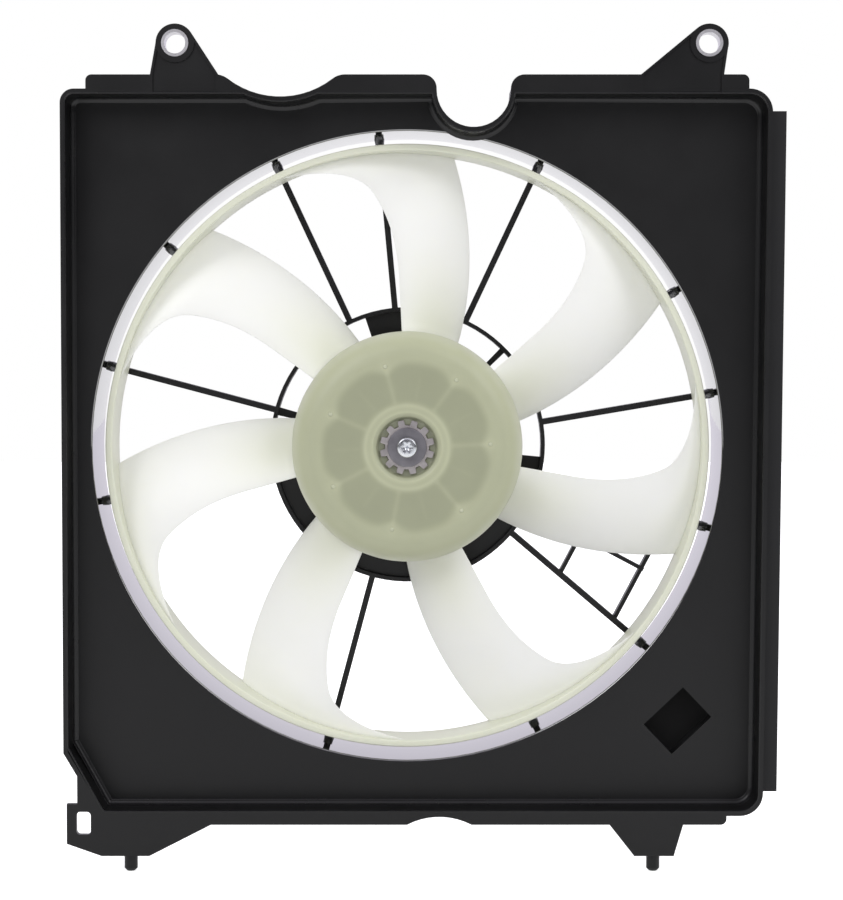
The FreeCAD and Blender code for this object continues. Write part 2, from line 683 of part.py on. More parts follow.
def add_feet(body):
    """Adds the two lower feet with their shelves, webs and pins, and the slotted tab."""
    deep = "-tray_bottom + wall"
    left = facing(body, "left_foot_outline", "0")
    loop(left, [
        ("-left_foot_inner", "-flange_bottom"),
        ("-left_foot_toe", "-foot_bottom"),
        ("-left_foot_heel", "-foot_bottom"),
        ("-tab_left", "-tab_bottom"),
        ("-tab_left", "-tab_top"),
        ("-tab_neck", "-tab_top"),
        ("-tab_neck", "-tab_neck_top"),
        ("-tray_left + 2 * cut_width", "-tab_neck_top"),
        ("-left_foot_inner", deep),
    ])
    pad(body, "left_foot", left, "foot_skin")
    right = facing(body, "right_foot_outline", "0")
    loop(right, [
        ("right_foot_inner", "-flange_bottom"),
        ("right_foot_toe", "-foot_bottom"),
        ("right_foot_heel", "-foot_bottom"),
        ("right_foot_outer", "-flange_bottom"),
        ("right_foot_outer", deep),
        ("right_foot_inner", deep),
    ])
    pad(body, "right_foot", right, "foot_skin")
    for side, toe, heel in (("left", "-left_foot_toe", "-left_foot_heel"),
                            ("right", "right_foot_toe", "right_foot_heel")):
        pin = side + "_pin_x"
        shelf = facing(body, side + "_shelf_outline", "0")
        loop(shelf, rectangle(toe, heel, "-foot_bottom", "-foot_bottom + wall"))
        pad(body, side + "_shelf", shelf, "foot_shelf")
        webs = facing(body, side + "_web_outline", "0")
        for way in (-1, 1):
            middle = "%s + %d * (pin_radius + foot_web / 2)" % (pin, way)
            loop(webs, rectangle(middle + " - foot_web / 2", middle + " + foot_web / 2",
                                 "-foot_bottom + wall / 2", "-tray_bottom + wall / 2"))
        pad(body, side + "_webs", webs, "foot_shelf")
        post = plane_sketch(body, side + "_pin_outline", "XY_Plane", "-foot_bottom - pin_length")
        circle(post, pin, "pin_y", "pin_radius")
        lower = pad(body, side + "_pin", post, "pin_length + wall / 2")
        lower.Reversed = False
    tip_level = value("-foot_bottom - pin_length")
    dressed("Chamfer", body, "pin_tips", "pin_tip", lambda edge: on_level(edge, tip_level))
    slot = facing(body, "slot_outline", "0")
    loop(slot, rectangle("slot_x - slot_width / 2", "slot_x + slot_width / 2",
                         "slot_z - slot_height / 2", "slot_z + slot_height / 2"))
    pocket(body, "slot", slot, "foot_skin")
    sides = ("slot_x - slot_width / 2", "slot_x + slot_width / 2")
    ends = ("slot_z - slot_height / 2", "slot_z + slot_height / 2")
    round_corners(body, "slot_round", "slot_corner", [(x, z) for x in sides for z in ends])


def add_well(body):
    """Sinks the square well into the tray's floor."""
    block = facing(body, "well_block_outline", "tray_depth - skin")
    loop(block, turned_box("well_x", "well_z", "well_turn", "well_length + 2 * skin",
                           "well_width + 2 * skin"))
    pad(body, "well_block", block, "well_depth + skin")
    hole = facing(body, "well_outline", "tray_depth - skin")
    loop(hole, turned_box("well_x", "well_z", "well_turn", "well_length", "well_width"))
    pocket(body, "well", hole, "well_depth")


def add_barrel(body):
    """Opens the tray's floor and adds the barrel round the fan."""
    opening = facing(body, "barrel_opening_outline", "0")
    circle(opening, "0", "0", "barrel_radius")
    pocket(body, "barrel_opening", opening, "tray_depth")
    revolved(body, "barrel", tube_corners("barrel_radius", "barrel_radius + wall",
                                          "tray_depth - skin", "barrel_end"))
    level = value("tray_depth - skin")
    radius = value("barrel_radius")
    dressed("Fillet", body, "barrel_lip_round", "barrel_lip",
            lambda edge: at_depth(edge, level, radius))


def add_struts(body):
    """Adds the struts between the motor carrier and the barrel."""
    struts = facing(body, "strut_outline", "strut_front")
    inner = "carrier_radius - carrier_rim / 2"
    outer = "barrel_radius + wall / 2"
    for number in range(1, STRUT_COUNT + 1):
        loop(struts, turned_box("0", "0", "strut_%d" % number, "%s - (%s)" % (outer, inner),
                                "strut_width", "(%s + %s) / 2" % (inner, outer)))
    pad(body, "struts", struts, "strut_back - strut_front")


def add_carrier(body):
    """Adds the motor carrier: its rim, the plate with windows, the lip and the screw bosses."""
    plate = facing(body, "carrier_outline", "carrier_front")
    circle(plate, "0", "0", "carrier_radius - carrier_rim / 2")
    circle(plate, "0", "0", "can_radius + can_gap")
    pad(body, "carrier_plate", plate, "carrier_skin")
    windows = facing(body, "window_outline", "carrier_front")
    for number in range(1, WINDOW_COUNT + 1):
        loop(windows, sector("carrier_window", "carrier_radius - carrier_rim",
                             "window_%d_begin" % number, "window_%d_end" % number))
    pocket(body, "windows", windows, "carrier_skin")
    rim = facing(body, "rim_outline", "strut_front")
    circle(rim, "0", "0", "carrier_radius")
    circle(rim, "0", "0", "carrier_radius - carrier_rim")
    pad(body, "carrier_rim_ring", rim, "strut_back - strut_front")
    lip = facing(body, "lip_outline", "carrier_front")
    circle(lip, "0", "0", "can_radius + can_gap + carrier_rim")
    circle(lip, "0", "0", "can_radius + can_gap")
    pad(body, "carrier_lip", lip, "strut_back - carrier_front")
    bosses = facing(body, "lug_boss_outline", "carrier_front")
    holes_at = [lug_place(number) for number in range(int(value("lug_count")))]
    for x, z in holes_at:
        circle(bosses, x, z, "lug_boss")
    pad(body, "lug_bosses", bosses, "lug_boss_length")
    holes = facing(body, "lug_hole_outline", "carrier_front")
    for x, z in holes_at:
        circle(holes, x, z, "lug_screw_shank + fit_gap")
    pocket(body, "lug_holes", holes, "lug_boss_length")


def lug_place(number):
    """Gives the place of one lug screw about the fan axis."""
    angle = "lug_turn + %d * 360 / lug_count" % number
    return "lug_screw_radius * cos(%s)" % angle, "lug_screw_radius * sin(%s)" % angle


def add_harness_ribs(body):
    """Adds the ribs between two struts that carry the harness clip."""
    ribs = facing(body, "harness_outline", "rib_front")
    for reach in ("rib_inner", "rib_outer"):
        half = "(strut_12 - strut_11) / 2"
        chord = "2 * %s * sin(%s)" % (reach, half)
        loop(ribs, turned_box("0", "0", "strut_11 + %s + 90" % half, chord, "rib_width", "0",
                              "-%s * cos(%s)" % (reach, half)))
    pad(body, "harness_ribs", ribs, "rib_back - rib_front")
    spine = facing(body, "spine_outline", "rib_front")
    loop(spine, turned_box("0", "0", "(strut_11 + strut_12) / 2", "rib_outer - rib_inner", "rib_width",
                           "(rib_inner + rib_outer) / 2 - rib_width"))
    pad(body, "harness_spine", spine, "rib_back - rib_front")


def build_strip():
    """Extrudes the seal strip: a leg on the tray's right wall and a flap that stands out from it."""
    body = new_body("side_seal_strip")
    slope = "(tray_right_top - tray_right_bottom) / (tray_top + tray_bottom)"
    low = "tray_right_bottom + seat_gap + (tray_bottom - strip_bottom) * " + slope
    high = "tray_right_bottom + seat_gap + (tray_bottom + strip_top) * " + slope
    for name, reach, length in (("leg", "strip_skin", "strip_leg"), ("flap", "strip_reach", "strip_skin")):
        sketch = facing(body, name + "_outline", "strip_front")
        loop(sketch, [
            (low, "-strip_bottom"),
            ("%s + %s" % (low, reach), "-strip_bottom"),
            ("%s + %s" % (high, reach), "strip_top"),
            (high, "strip_top"),
        ])
        pad(body, name, sketch, length)
    return body


def build_collar(side):
    """Makes the steel collar in one ear."""
    body = new_body(side + "_collar")
    tube = facing(body, side + "_collar_outline", "-collar_proud")
    circle(tube, side + "_ear_x", "ear_z", "collar_radius")
    circle(tube, side + "_ear_x", "ear_z", "collar_bore")
    pad(body, side + "_collar_tube", tube, "ear_boss_depth + 2 * collar_proud")
    return body


def blade_angle(radius, along):
    """Gives the angle of a blade at a radius, from its trailing edge (0) to its leading edge (1)."""
    trail = value("trail_root") + value("trail_sweep") * (radius - value("hub_radius"))
    swept = max(0.0, radius - value("lead_start"))
    tip = value("ring_radius - ring_wall")
    hooked = max(0.0, radius - value("hook_start")) / (tip - value("hook_start"))
    lead = value("lead_root") + value("lead_sweep") * swept ** 2 + value("hook_angle") * hooked ** 3
    return math.radians(trail + (lead - trail) * along)


def blade_point(radius, along, side):
    """Gives a point on the rear (1) or the front (-1) skin of a blade."""
    reach = (radius - value("hub_radius")) / value("ring_radius - hub_radius")
    front = value("blade_front_root") + value("blade_front_tip - blade_front_root") * reach
    back = value("blade_back_root") + value("blade_back_tip - blade_back_root") * reach
    fall = 1 - along
    shape = fall - value("blade_camber") * fall * (1 - fall)
    edge = value("blade_edge")
    thick = edge + (value("blade_thick") - edge) * 4 * fall * (1 - fall)
    angle = blade_angle(radius, along)
    depth = front + (back - front) * shape + side * thick / 2
    return Vector(radius * math.cos(angle), depth, radius * math.sin(angle))


def blade_shape():
    """Works out one twisted blade, closed between its two skins."""
    root = value("hub_radius - hub_wall / 2")
    tip = value("ring_radius - ring_wall / 2")
    radii = [root + (tip - root) * step / BLADE_STATIONS for step in range(BLADE_STATIONS + 1)]
    steps = [step / CHORD_STATIONS for step in range(CHORD_STATIONS + 1)]
    skins = []
    for side in (-1, 1):
        skin = Part.BSplineSurface()
        skin.interpolate([[blade_point(radius, along, side) for along in steps] for radius in radii])
        skins.append(skin)
    faces = [skin.toShape() for skin in skins]
    pairs = [(skins[0].uIso(0), skins[1].uIso(0)), (skins[0].uIso(1), skins[1].uIso(1)),
             (skins[0].vIso(0), skins[1].vIso(0)), (skins[0].vIso(1), skins[1].vIso(1))]
    for front, rear in pairs:
        faces.append(Part.makeRuledSurface(front.toShape(), rear.toShape()))
    shell = Part.makeShell(faces)
    shell.sewShape()
    blade = Part.Solid(shell)
    if blade.Volume < 0:
        blade.reverse()
    return blade


def build_blades():
    """Makes the ring of blades, the form that the hub and the outer ring are then moulded onto."""
    blade = blade_shape()
    count = int(value("blade_count"))
    copies = []
    for number in range(count):
        copy = blade.copy()
        copy.rotate(Vector(0, 0, 0), Vector(0, 1, 0), -360.0 * number / count)
        copies.append(copy)
    blades = doc.addObject("Part::Feature", "fan_blades")
    blades.Shape = Part.Compound(copies)
    return blades


def build_fan():
    """Moulds the fan: seven blades between a domed hub and an outer ring."""
    body = new_body("fan")
    body.BaseFeature = build_blades()
    doc.recompute()
    revolved(body, "ring", [
        ("ring_radius - ring_wall", "ring_front"),
        ("ring_radius + ring_lip", "ring_front"),
        ("ring_radius + ring_lip", "ring_front + ring_lip_depth"),
        ("ring_radius", "ring_front + ring_lip_depth"),
        ("ring_radius", "ring_back"),
        ("ring_radius - ring_wall", "ring_back"),
    ])
    post_back = "hub_front + hub_post_depth"
    shoulder = "hub_shoulder * (1 - cos(45))"
    revolved(body, "hub", [
        ("hub_recess", "hub_front"),
        ("hub_radius - hub_shoulder", "hub_front", "hub_shoulder",
         "hub_radius - " + shoulder, "hub_front + " + shoulder),
        ("hub_radius", "hub_front + hub_shoulder"),
        ("hub_radius", "hub_back"),
        ("hub_radius - hub_wall", "hub_back"),
        ("hub_radius - hub_wall", "hub_front + hub_shoulder", "hub_shoulder - hub_wall",
         "hub_radius - hub_wall - (hub_shoulder - hub_wall) * (1 - cos(45))",
         "hub_front + hub_wall + (hub_shoulder - hub_wall) * (1 - cos(45))"),
        ("hub_radius - hub_shoulder", "hub_front + hub_wall"),
        ("hub_post_radius", "hub_front + hub_wall"),
        ("hub_post_radius", post_back),
        ("shoulder_radius + seat_gap", post_back),
        ("shoulder_radius + seat_gap", "insert_front + insert_length + seat_gap"),
        ("insert_tip + seat_gap", "insert_front + insert_length + seat_gap"),
        ("insert_tip + seat_gap", "hub_front + hub_recess_depth"),
        ("hub_recess", "hub_front + hub_recess_depth"),
    ])
    ribs = facing(body, "hub_rib_outline", "hub_front + hub_wall / 2")
    for number in range(int(value("blade_count"))):
        for half, outer in (("0", "hub_radius - hub_shoulder"), ("0.5", "hub_radius - hub_shoulder / 2")):
            turn = "(%d + %s) * 360 / blade_count + hub_rib_turn" % (number, half)
            inner = "hub_post_radius - 0.5 * hub_rib"
            loop(ribs, turned_box("0", "0", turn, "%s - (%s)" % (outer, inner), "hub_rib",
                                  "(%s + %s) / 2" % (outer, inner)))
    pad(body, "hub_ribs", ribs, "hub_rib_depth")
    return body


def build_insert():
    """Cuts the toothed drive insert that is moulded into the hub."""
    body = new_body("hub_insert")
    disc = facing(body, "insert_outline", "insert_front")
    circle(disc, "0", "0", "insert_root")
    pad(body, "insert_disc", disc, "insert_length")
    tooth = facing(body, "tooth_outline", "insert_front")
    loop(tooth, turned_box("0", "0", "tooth_turn", "insert_tip - insert_root + tooth_width", "tooth_width",
                           "(insert_tip + insert_root - tooth_width) / 2"))
    one = pad(body, "tooth", tooth, "insert_length")
    around(body, "teeth", [one], "insert_teeth")
    bore = facing(body, "insert_bore_outline", "insert_front")
    circle(bore, "0", "0", "shaft_radius + fit_gap")
    pocket(body, "insert_bore", bore, "insert_length")
    return body


def build_screw():
    """Turns the screw that holds the fan, with a six sided socket in its head."""
    washer_front = "(insert_front - washer_thick)"
    head_front = "(insert_front - washer_thick - screw_head_length)"
    body = turned_part("hub_screw", [
        ("0", head_front),
        ("screw_head", head_front),
        ("screw_head", washer_front),
        ("screw_shank", washer_front),
        ("screw_shank", washer_front + " + screw_length"),
        ("0", washer_front + " + screw_length"),
    ])
    socket = facing(body, "socket_outline", head_front)
    loop(socket, [("socket_radius * cos(%d)" % turn, "socket_radius * sin(%d)" % turn)
                  for turn in range(0, 360, 60)])
    pocket(body, "socket", socket, "socket_depth")
    head_level = value(head_front)
    dressed("Chamfer", body, "head_edge", "socket_depth / 4",
            lambda edge: at_depth(edge, head_level, value("screw_head")))
    return body


def build_shaft():
    """Turns the motor shaft, with the shoulder that the insert rests on and the screw's bore."""
    insert_back = "(insert_front + insert_length)"
    tip = "(insert_front + fit_gap)"
    bore_end = "(insert_front - washer_thick + screw_length + screw_shank)"
    return turned_part("motor_shaft", [
        ("screw_shank + fit_gap", tip),
        ("shaft_radius", tip),
        ("shaft_radius", insert_back),
        ("shoulder_radius", insert_back),
        ("shoulder_radius", insert_back + " + shoulder_length"),
        ("shaft_radius", insert_back + " + shoulder_length"),
        ("shaft_radius", "shaft_end"),
        ("0", "shaft_end"),
        ("0", bore_end),
        ("screw_shank + fit_gap", bore_end),
    ])


def build_bracket():
    """Makes the motor's front bracket: a shallow cup with a bearing boss, lugs and card posts."""
    back = "(carrier_front - seat_gap)"
    body = turned_part("motor_bracket", [
        ("bearing_radius + fit_gap", "bracket_boss_front"),
        ("boss_radius", "bracket_boss_front"),
        ("boss_radius", "bracket_front"),
        ("can_radius", "bracket_front"),
        ("can_radius", back),
        ("can_radius - can_wall", back),
        ("can_radius - can_wall", "bracket_front + bracket_skin"),
        ("bearing_radius + fit_gap", "bracket_front + bracket_skin"),
    ])
    lug = facing(body, "lug_outline", "carrier_front - seat_gap - bracket_skin")
    loop(lug, turned_box("0", "0", "lug_turn", "lug_radius - can_radius + can_wall", "lug_width",
                         "(lug_radius + can_radius - can_wall) / 2"))
    one_lug = pad(body, "lug", lug, "bracket_skin")
    around(body, "lugs", [one_lug], "lug_count")
    hole = facing(body, "lug_hole_outline", "carrier_front - seat_gap - bracket_skin")
    circle(hole, *lug_place(0), "lug_screw_shank + lug_screw_play")
    one_hole = pocket(body, "lug_hole", hole, "bracket_skin")
    around(body, "lug_holes", [one_hole], "lug_count")
    post = facing(body, "card_post_outline", "bracket_front + bracket_skin / 2")
    circle(post, *card_place(), "card_post")
    one_post = pad(body, "card_post_pad", post, "card_front - seat_gap - bracket_front - bracket_skin / 2")
    around(body, "card_posts", [one_post], "card_screw_count")
    thread = facing(body, "card_thread_outline", "bracket_front + bracket_skin / 2")
    circle(thread, *card_place(), "card_screw_shank + fit_gap")
    one_thread = pocket(body, "card_thread", thread, "card_front - bracket_front")
    around(body, "card_threads", [one_thread], "card_screw_count")
    return body


def card_place():
    """Gives the place of the first card screw about the fan axis."""
    return "card_screw_radius * cos(card_screw_turn)", "card_screw_radius * sin(card_screw_turn)"


def build_can():
    """Draws the deep motor can with its rear bearing boss."""
    inner = "can_radius - can_wall"
    body = turned_part("motor_can", [
        (inner, "carrier_front"),
        ("can_radius", "carrier_front"),
        ("can_radius", "can_end"),
        ("boss_radius", "can_end"),
        ("boss_radius", "can_tail"),
        ("0", "can_tail"),
        ("0", "can_tail - can_wall"),
        ("bearing_radius + fit_gap", "can_tail - can_wall"),
        ("bearing_radius + fit_gap", "can_end - can_wall"),
        (inner, "can_end - can_wall"),
    ])
    level = value("can_end")
    radius = value("can_radius")
    dressed("Fillet", body, "can_round", "can_corner", lambda edge: at_depth(edge, level, radius))
    return body


def build_magnet(number):
    """Makes one curved magnet that lies against the inside of the can."""
    body = new_body("magnet_%d" % number)
    outline = facing(body, "magnet_%d_outline" % number, "magnet_front")
    middle = "%d * 360 / magnet_count + 45" % number
    loop(outline, sector("(can_radius - can_wall - seat_gap - magnet_thick)",
                         "(can_radius - can_wall - seat_gap)",
                         "(%s - magnet_span / 2)" % middle, "(%s + magnet_span / 2)" % middle))
    pad(body, "magnet_%d_pad" % number, outline, "magnet_length")
    return body


def build_core():
    """Stacks the slotted core of the armature."""
    body = new_body("armature_core")
    disc = facing(body, "core_outline", "core_front")
    circle(disc, "0", "0", "core_radius")
    circle(disc, "0", "0", "shaft_radius + fit_gap")
    pad(body, "core_disc", disc, "core_length")
    slot = facing(body, "core_slot_outline", "core_front")
    loop(slot, turned_box("0", "0", "0", "core_radius - slot_floor + slot_opening", "slot_opening",
                          "(core_radius + slot_floor + slot_opening) / 2"))
    one = pocket(body, "core_slot", slot, "core_length")
    around(body, "core_slots_cut", [one], "core_slots")
    return body


def build_winding():
    """Makes the copper winding: two coil heads joined by the bars that lie in the slots."""
    front = "(core_front - seat_gap)"
    back = "(core_front + core_length + seat_gap)"
    body = new_body("armature_winding")
    revolved(body, "front_head", tube_corners("coil_inner", "coil_radius", front + " - coil_length", front))
    revolved(body, "rear_head", tube_corners("coil_inner", "coil_radius", back, back + " + coil_length"))
    bar = facing(body, "bar_outline", front + " - coil_length / 2")
    loop(bar, turned_box("0", "0", "0", "coil_radius - slot_floor - 4 * seat_gap",
                         "slot_opening - 4 * seat_gap", "(coil_radius + slot_floor) / 2"))
    one = pad(body, "bar", bar, "core_length + coil_length")
    around(body, "bars", [one], "core_slots")
    levels = (value(front + " - coil_length"), value(back + " + coil_length"))
    radius = value("coil_radius")
    dressed("Fillet", body, "head_round", "coil_length / 3",
            lambda edge: any(at_depth(edge, level, radius) for level in levels))
    return body


def build_commutator():
    """Makes the commutator with a saw cut between its bars."""
    body = turned_part("commutator", tube_corners("shaft_radius + fit_gap", "commutator_radius",
                                                  "commutator_front",
                                                  "commutator_front + commutator_length"))
    cut = facing(body, "bar_cut_outline", "commutator_front")
    loop(cut, turned_box("0", "0", "180 / core_slots", "commutator_radius / 4", "bar_cut",
                         "commutator_radius"))
    one = pocket(body, "bar_cut_pocket", cut, "commutator_length")
    around(body, "bar_cuts", [one], "core_slots")
    return body


def brush_box(sketch, number, extra, along="brush_length", shift="0"):
    """Draws the outline of a brush or its holder, seen from the radiator."""
    middle = "(commutator_radius + brush_gap + brush_length / 2 + %s)" % shift
    loop(sketch, turned_box("0", "0", "(brush_turn + %d * 180)" % number, along,
                            "brush_width + 2 * (%s)" % extra, middle))


def build_card():
    """Moulds the brush card with a holder for each brush."""
    body = turned_part("brush_card", tube_corners("card_inner", "can_radius - can_wall - seat_gap",
                                                  "card_front", "card_front + card_skin"))
    rear = "card_front + card_skin"
    holders = facing(body, "holder_outline", rear + " - card_skin / 2")
    hollows = facing(body, "hollow_outline", rear)
    long_side = "brush_length + spring_length - brush_lead"
    shift = "(spring_length + brush_lead) / 2"
    for number in (0, 1):
        brush_box(holders, number, "seat_gap + holder_wall", long_side + " + holder_wall",
                  shift + " + holder_wall / 2")
        brush_box(hollows, number, "seat_gap", long_side, shift)
    height = "brush_height + 2 * seat_gap"
    pad(body, "holders", holders, height + " + holder_wall + card_skin / 2")
    pocket(body, "hollows", hollows, height)
    holes = facing(body, "card_hole_outline", "card_front")
    circle(holes, *card_place(), "card_screw_shank + seat_gap")
    one = pocket(body, "card_hole", holes, "card_skin")
    around(body, "card_holes", [one], "card_screw_count")
    return body


def build_brush(number):
    """Makes one carbon brush in its holder."""
    body = new_body("brush_%d" % (number + 1))
    outline = facing(body, "brush_%d_outline" % number, "card_front + card_skin + seat_gap")
    brush_box(outline, number, "0")
    pad(body, "brush_%d_pad" % number, outline, "brush_height")
    return body


def build_spring(number):
    """Winds the spring that presses one brush onto the commutator."""
    turn = "(brush_turn + %d * 180)" % number
    radius = value("spring_radius - spring_wire / 2")
    wire = value("spring_wire")
    length = value("spring_length - 2 * seat_gap") - wire
    coil = Part.makeHelix(length / SPRING_TURNS, length, radius)
    profile = Part.Wire(Part.Circle(Vector(radius, 0, 0), Vector(0, 1, 0), wire / 2).toShape())
    spring = doc.addObject("Part::Feature", "brush_spring_%d" % (number + 1))
    spring.Label = "brush_spring_%d" % (number + 1)
    spring.Shape = Part.Wire(coil).makePipeShell([profile], True, True)
    spring.Placement.Rotation = FreeCAD.Rotation(Vector(0, 1, 0), 90 - value(turn))
    start = "(commutator_radius + brush_gap + brush_length + seat_gap + spring_wire / 2)"
    place_on_axis(spring, "%s * cos(%s)" % (start, turn),
                  "card_front + card_skin + seat_gap + brush_height / 2",
                  "%s * sin(%s)" % (start, turn))
    return spring


def build_screws(name, place, count, head, shank, seat, sizes):
    """Makes a group of equal screws that point towards the motor, with their heads at the seat."""
    body = new_body(name)
    head_length, length = sizes
    heads = facing(body, name + "_head_outline", "%s - %s" % (seat, head_length))
    circle(heads, *place, head)
    first = pad(body, name + "_head", heads, head_length)
    shanks = facing(body, name + "_shank_outline", "%s - %s / 2" % (seat, head_length))
    circle(shanks, *place, shank)
    second = pad(body, name + "_shank", shanks, "%s + %s / 2" % (length, head_length))
    around(body, name + "_set", [first, second], count)
    return body


def build_card_screws():
    """Makes the screws that hold the brush card, which point towards the radiator."""
    body = new_body("card_screws")
    seat = "(card_front + card_skin + seat_gap)"
    heads = facing(body, "card_head_outline", seat)
    circle(heads, *card_place(), "card_screw_head")
    first = pad(body, "card_head", heads, "card_screw_head_length")
    shanks = facing(body, "card_shank_outline", seat + " - card_screw_length")
    circle(shanks, *card_place(), "card_screw_shank")
    second = pad(body, "card_shank", shanks, "card_screw_length + card_screw_head_length / 2")
    around(body, "card_screw_set", [first, second], "card_screw_count")
    return body


def inlet_box(sketch, inset, low="0", high="0"):
    """Draws the inlet's outline, seen from behind the motor, outside the can's wall."""
    height = "plug_height - (%s) - (%s)" % (low, high)
    middle = "(can_radius + plug_height / 2 + ((%s) - (%s)) / 2)" % (low, high)
    loop(sketch, turned_box("0", "0", "plug_turn", height, "plug_width - 2 * (%s)" % inset, middle))


def build_inlet():
    """Moulds the socket on the side of the can that the car's harness plugs into from behind."""
    body = new_body("connector_housing")
    block = facing(body, "inlet_outline", "plug_front")
    inlet_box(block, "0", "-holder_wall")
    pad(body, "inlet_block", block, "plug_length")
    saddle = facing(body, "saddle_outline", "plug_front")
    circle(saddle, "0", "0", "can_radius + seat_gap")
    pocket(body, "saddle", saddle, "plug_length")
    cavity = facing(body, "cavity_outline", "plug_front + plug_floor")
    inlet_box(cavity, "plug_wall", "plug_wall", "plug_wall")
    pocket(body, "cavity", cavity, "plug_length - plug_floor")
    pins = facing(body, "terminal_slot_outline", "plug_front + plug_floor / 2")
    for way in (-1, 1):
        terminal_box(pins, way, "fit_gap")
    pocket(body, "terminal_slots", pins, "plug_floor / 2")
    return body


def terminal_box(sketch, way, extra):
    """Draws one terminal blade, seen from behind."""
    loop(sketch, turned_box("0", "0", "plug_turn", "terminal_thick + 2 * " + extra,
                            "terminal_width + 2 * " + extra, "(can_radius + plug_height / 2)",
                            "%d * terminal_pitch / 2" % way))


def build_terminals():
    """Makes the two terminal blades that stand in the inlet."""
    body = new_body("connector_terminals")
    outline = facing(body, "terminal_outline", "plug_front + plug_floor / 2 + fit_gap")
    for way in (-1, 1):
        terminal_box(outline, way, "0")
    pad(body, "terminal_blades", outline, "terminal_length")
    return body


def build_all():
    """Builds every sub-part in the order in which the fan is put together."""
    parts = [build_shroud(), build_strip(), build_collar("left"), build_collar("right")]
    parts += [build_bracket(), build_can()]
    parts += [build_magnet(number) for number in range(1, int(value("magnet_count")) + 1)]
    parts += [
        turned_part("front_bearing", tube_corners("shaft_radius + fit_gap", "bearing_radius",
                                                  "bracket_boss_front + fit_gap",
                                                  "bracket_boss_front + fit_gap + bearing_length")),
        turned_part("rear_bearing", tube_corners("shaft_radius + fit_gap", "bearing_radius",
                                                 "can_tail - can_wall - fit_gap - bearing_length",
                                                 "can_tail - can_wall - fit_gap")),
        build_shaft(), build_core(), build_winding(), build_commutator(), build_card(),
    ]
    parts += [build_brush(number) for number in (0, 1)]
    parts += [build_spring(number) for number in (0, 1)]
    parts += [build_card_screws(), build_inlet(), build_terminals()]
    parts.append(build_screws("motor_screws", lug_place(0), "lug_count", "lug_screw_head",
                              "lug_screw_shank", "(carrier_front - seat_gap - bracket_skin)",
                              ("lug_screw_head_length", "lug_screw_length")))
    washer_back = "bracket_boss_front + 2 * fit_gap + bearing_length"
    parts.append(turned_part("thrust_washer", tube_corners("shaft_radius + fit_gap", "clip_radius",
                                                           washer_back, washer_back + " + clip_thick")))
    clip_back = "bracket_boss_front"
    parts.append(turned_part("shaft_clip", tube_corners("shaft_radius + fit_gap", "clip_radius",
                                                        clip_back + " - clip_thick", clip_back)))
    parts += [build_fan(), build_insert(),
              turned_part("hub_washer", tube_corners("screw_shank + fit_gap", "washer_radius",
                                                     "insert_front - washer_thick", "insert_front")),
              build_screw()]
    return parts


def main():
    """Builds the model, checks every object and writes one file for each sub-part."""
    parts = build_all()
    doc.recompute()
    for item in doc.Objects:
        if "Invalid" in item.State or "Error" in item.State:
            raise RuntimeError("%s failed: %s" % (item.Label, item.State))
    for part in parts:
        if part.Shape.isNull() or not part.Shape.isValid():
            raise RuntimeError(part.Label + " has no valid shape")
    os.makedirs("parts", exist_ok=True)
    for part in parts:
        part.Shape.exportStep("parts/%s.step" % part.Label)
        print("%-20s solids %d  volume %.0f" % (part.Label, len(part.Shape.Solids), part.Shape.Volume))


main()
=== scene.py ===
# %% [markdown]
# A radiator fan: a black moulded shroud, a pale seven-bladed fan and, behind the hub, a small
# electric motor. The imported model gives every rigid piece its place. This lesson gives each piece
# its finish, and works out the fan again as smooth surfaces, because its blades catch most light.
#
# The fan's axis runs along y through the middle of the fan's box. Depths are counted in mm from
# the tray's front rim, which stands 0.5 mm behind the faces of the two steel collars.

# %% Load the frame
import math

import bpy
import numpy as np
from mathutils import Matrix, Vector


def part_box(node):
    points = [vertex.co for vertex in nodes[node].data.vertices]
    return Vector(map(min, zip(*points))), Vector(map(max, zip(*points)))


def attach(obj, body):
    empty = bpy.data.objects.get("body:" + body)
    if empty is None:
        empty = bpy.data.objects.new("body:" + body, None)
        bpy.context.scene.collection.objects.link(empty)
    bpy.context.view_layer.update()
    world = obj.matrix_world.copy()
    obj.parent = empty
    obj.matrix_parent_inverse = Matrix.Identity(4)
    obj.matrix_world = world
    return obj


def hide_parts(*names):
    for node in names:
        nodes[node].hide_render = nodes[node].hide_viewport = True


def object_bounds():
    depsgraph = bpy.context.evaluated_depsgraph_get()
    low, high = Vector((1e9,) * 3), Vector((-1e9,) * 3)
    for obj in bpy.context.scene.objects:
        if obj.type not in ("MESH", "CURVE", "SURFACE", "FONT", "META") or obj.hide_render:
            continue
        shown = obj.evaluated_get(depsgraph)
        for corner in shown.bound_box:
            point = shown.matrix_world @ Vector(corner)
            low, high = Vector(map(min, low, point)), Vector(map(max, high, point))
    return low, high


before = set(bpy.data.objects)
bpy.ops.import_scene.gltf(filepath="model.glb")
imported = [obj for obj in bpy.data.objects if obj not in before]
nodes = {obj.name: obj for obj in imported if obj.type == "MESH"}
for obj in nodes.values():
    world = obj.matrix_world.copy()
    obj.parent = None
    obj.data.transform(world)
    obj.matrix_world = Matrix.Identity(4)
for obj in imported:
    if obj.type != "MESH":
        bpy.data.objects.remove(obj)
cad_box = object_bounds()
fan_low, fan_high = (np.array(corner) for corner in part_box("fan"))
TRAY_FRONT = 0.0005
FAN_AXIS = np.array([(fan_low[0] + fan_high[0]) / 2, TRAY_FRONT, (fan_low[2] + fan_high[2]) / 2])
print("the fan lies between", fan_low.round(4), "and", fan_high.round(4))

# %% [markdown]
# The photograph was taken from far away with a long lens, almost level with the fan's middle and
# about two degrees above it. A vertical sensor of 36 mm and a lens of 89 mm give that flat view.
# The camera's place is found from a point in the shroud's front plane, a distance and that angle.

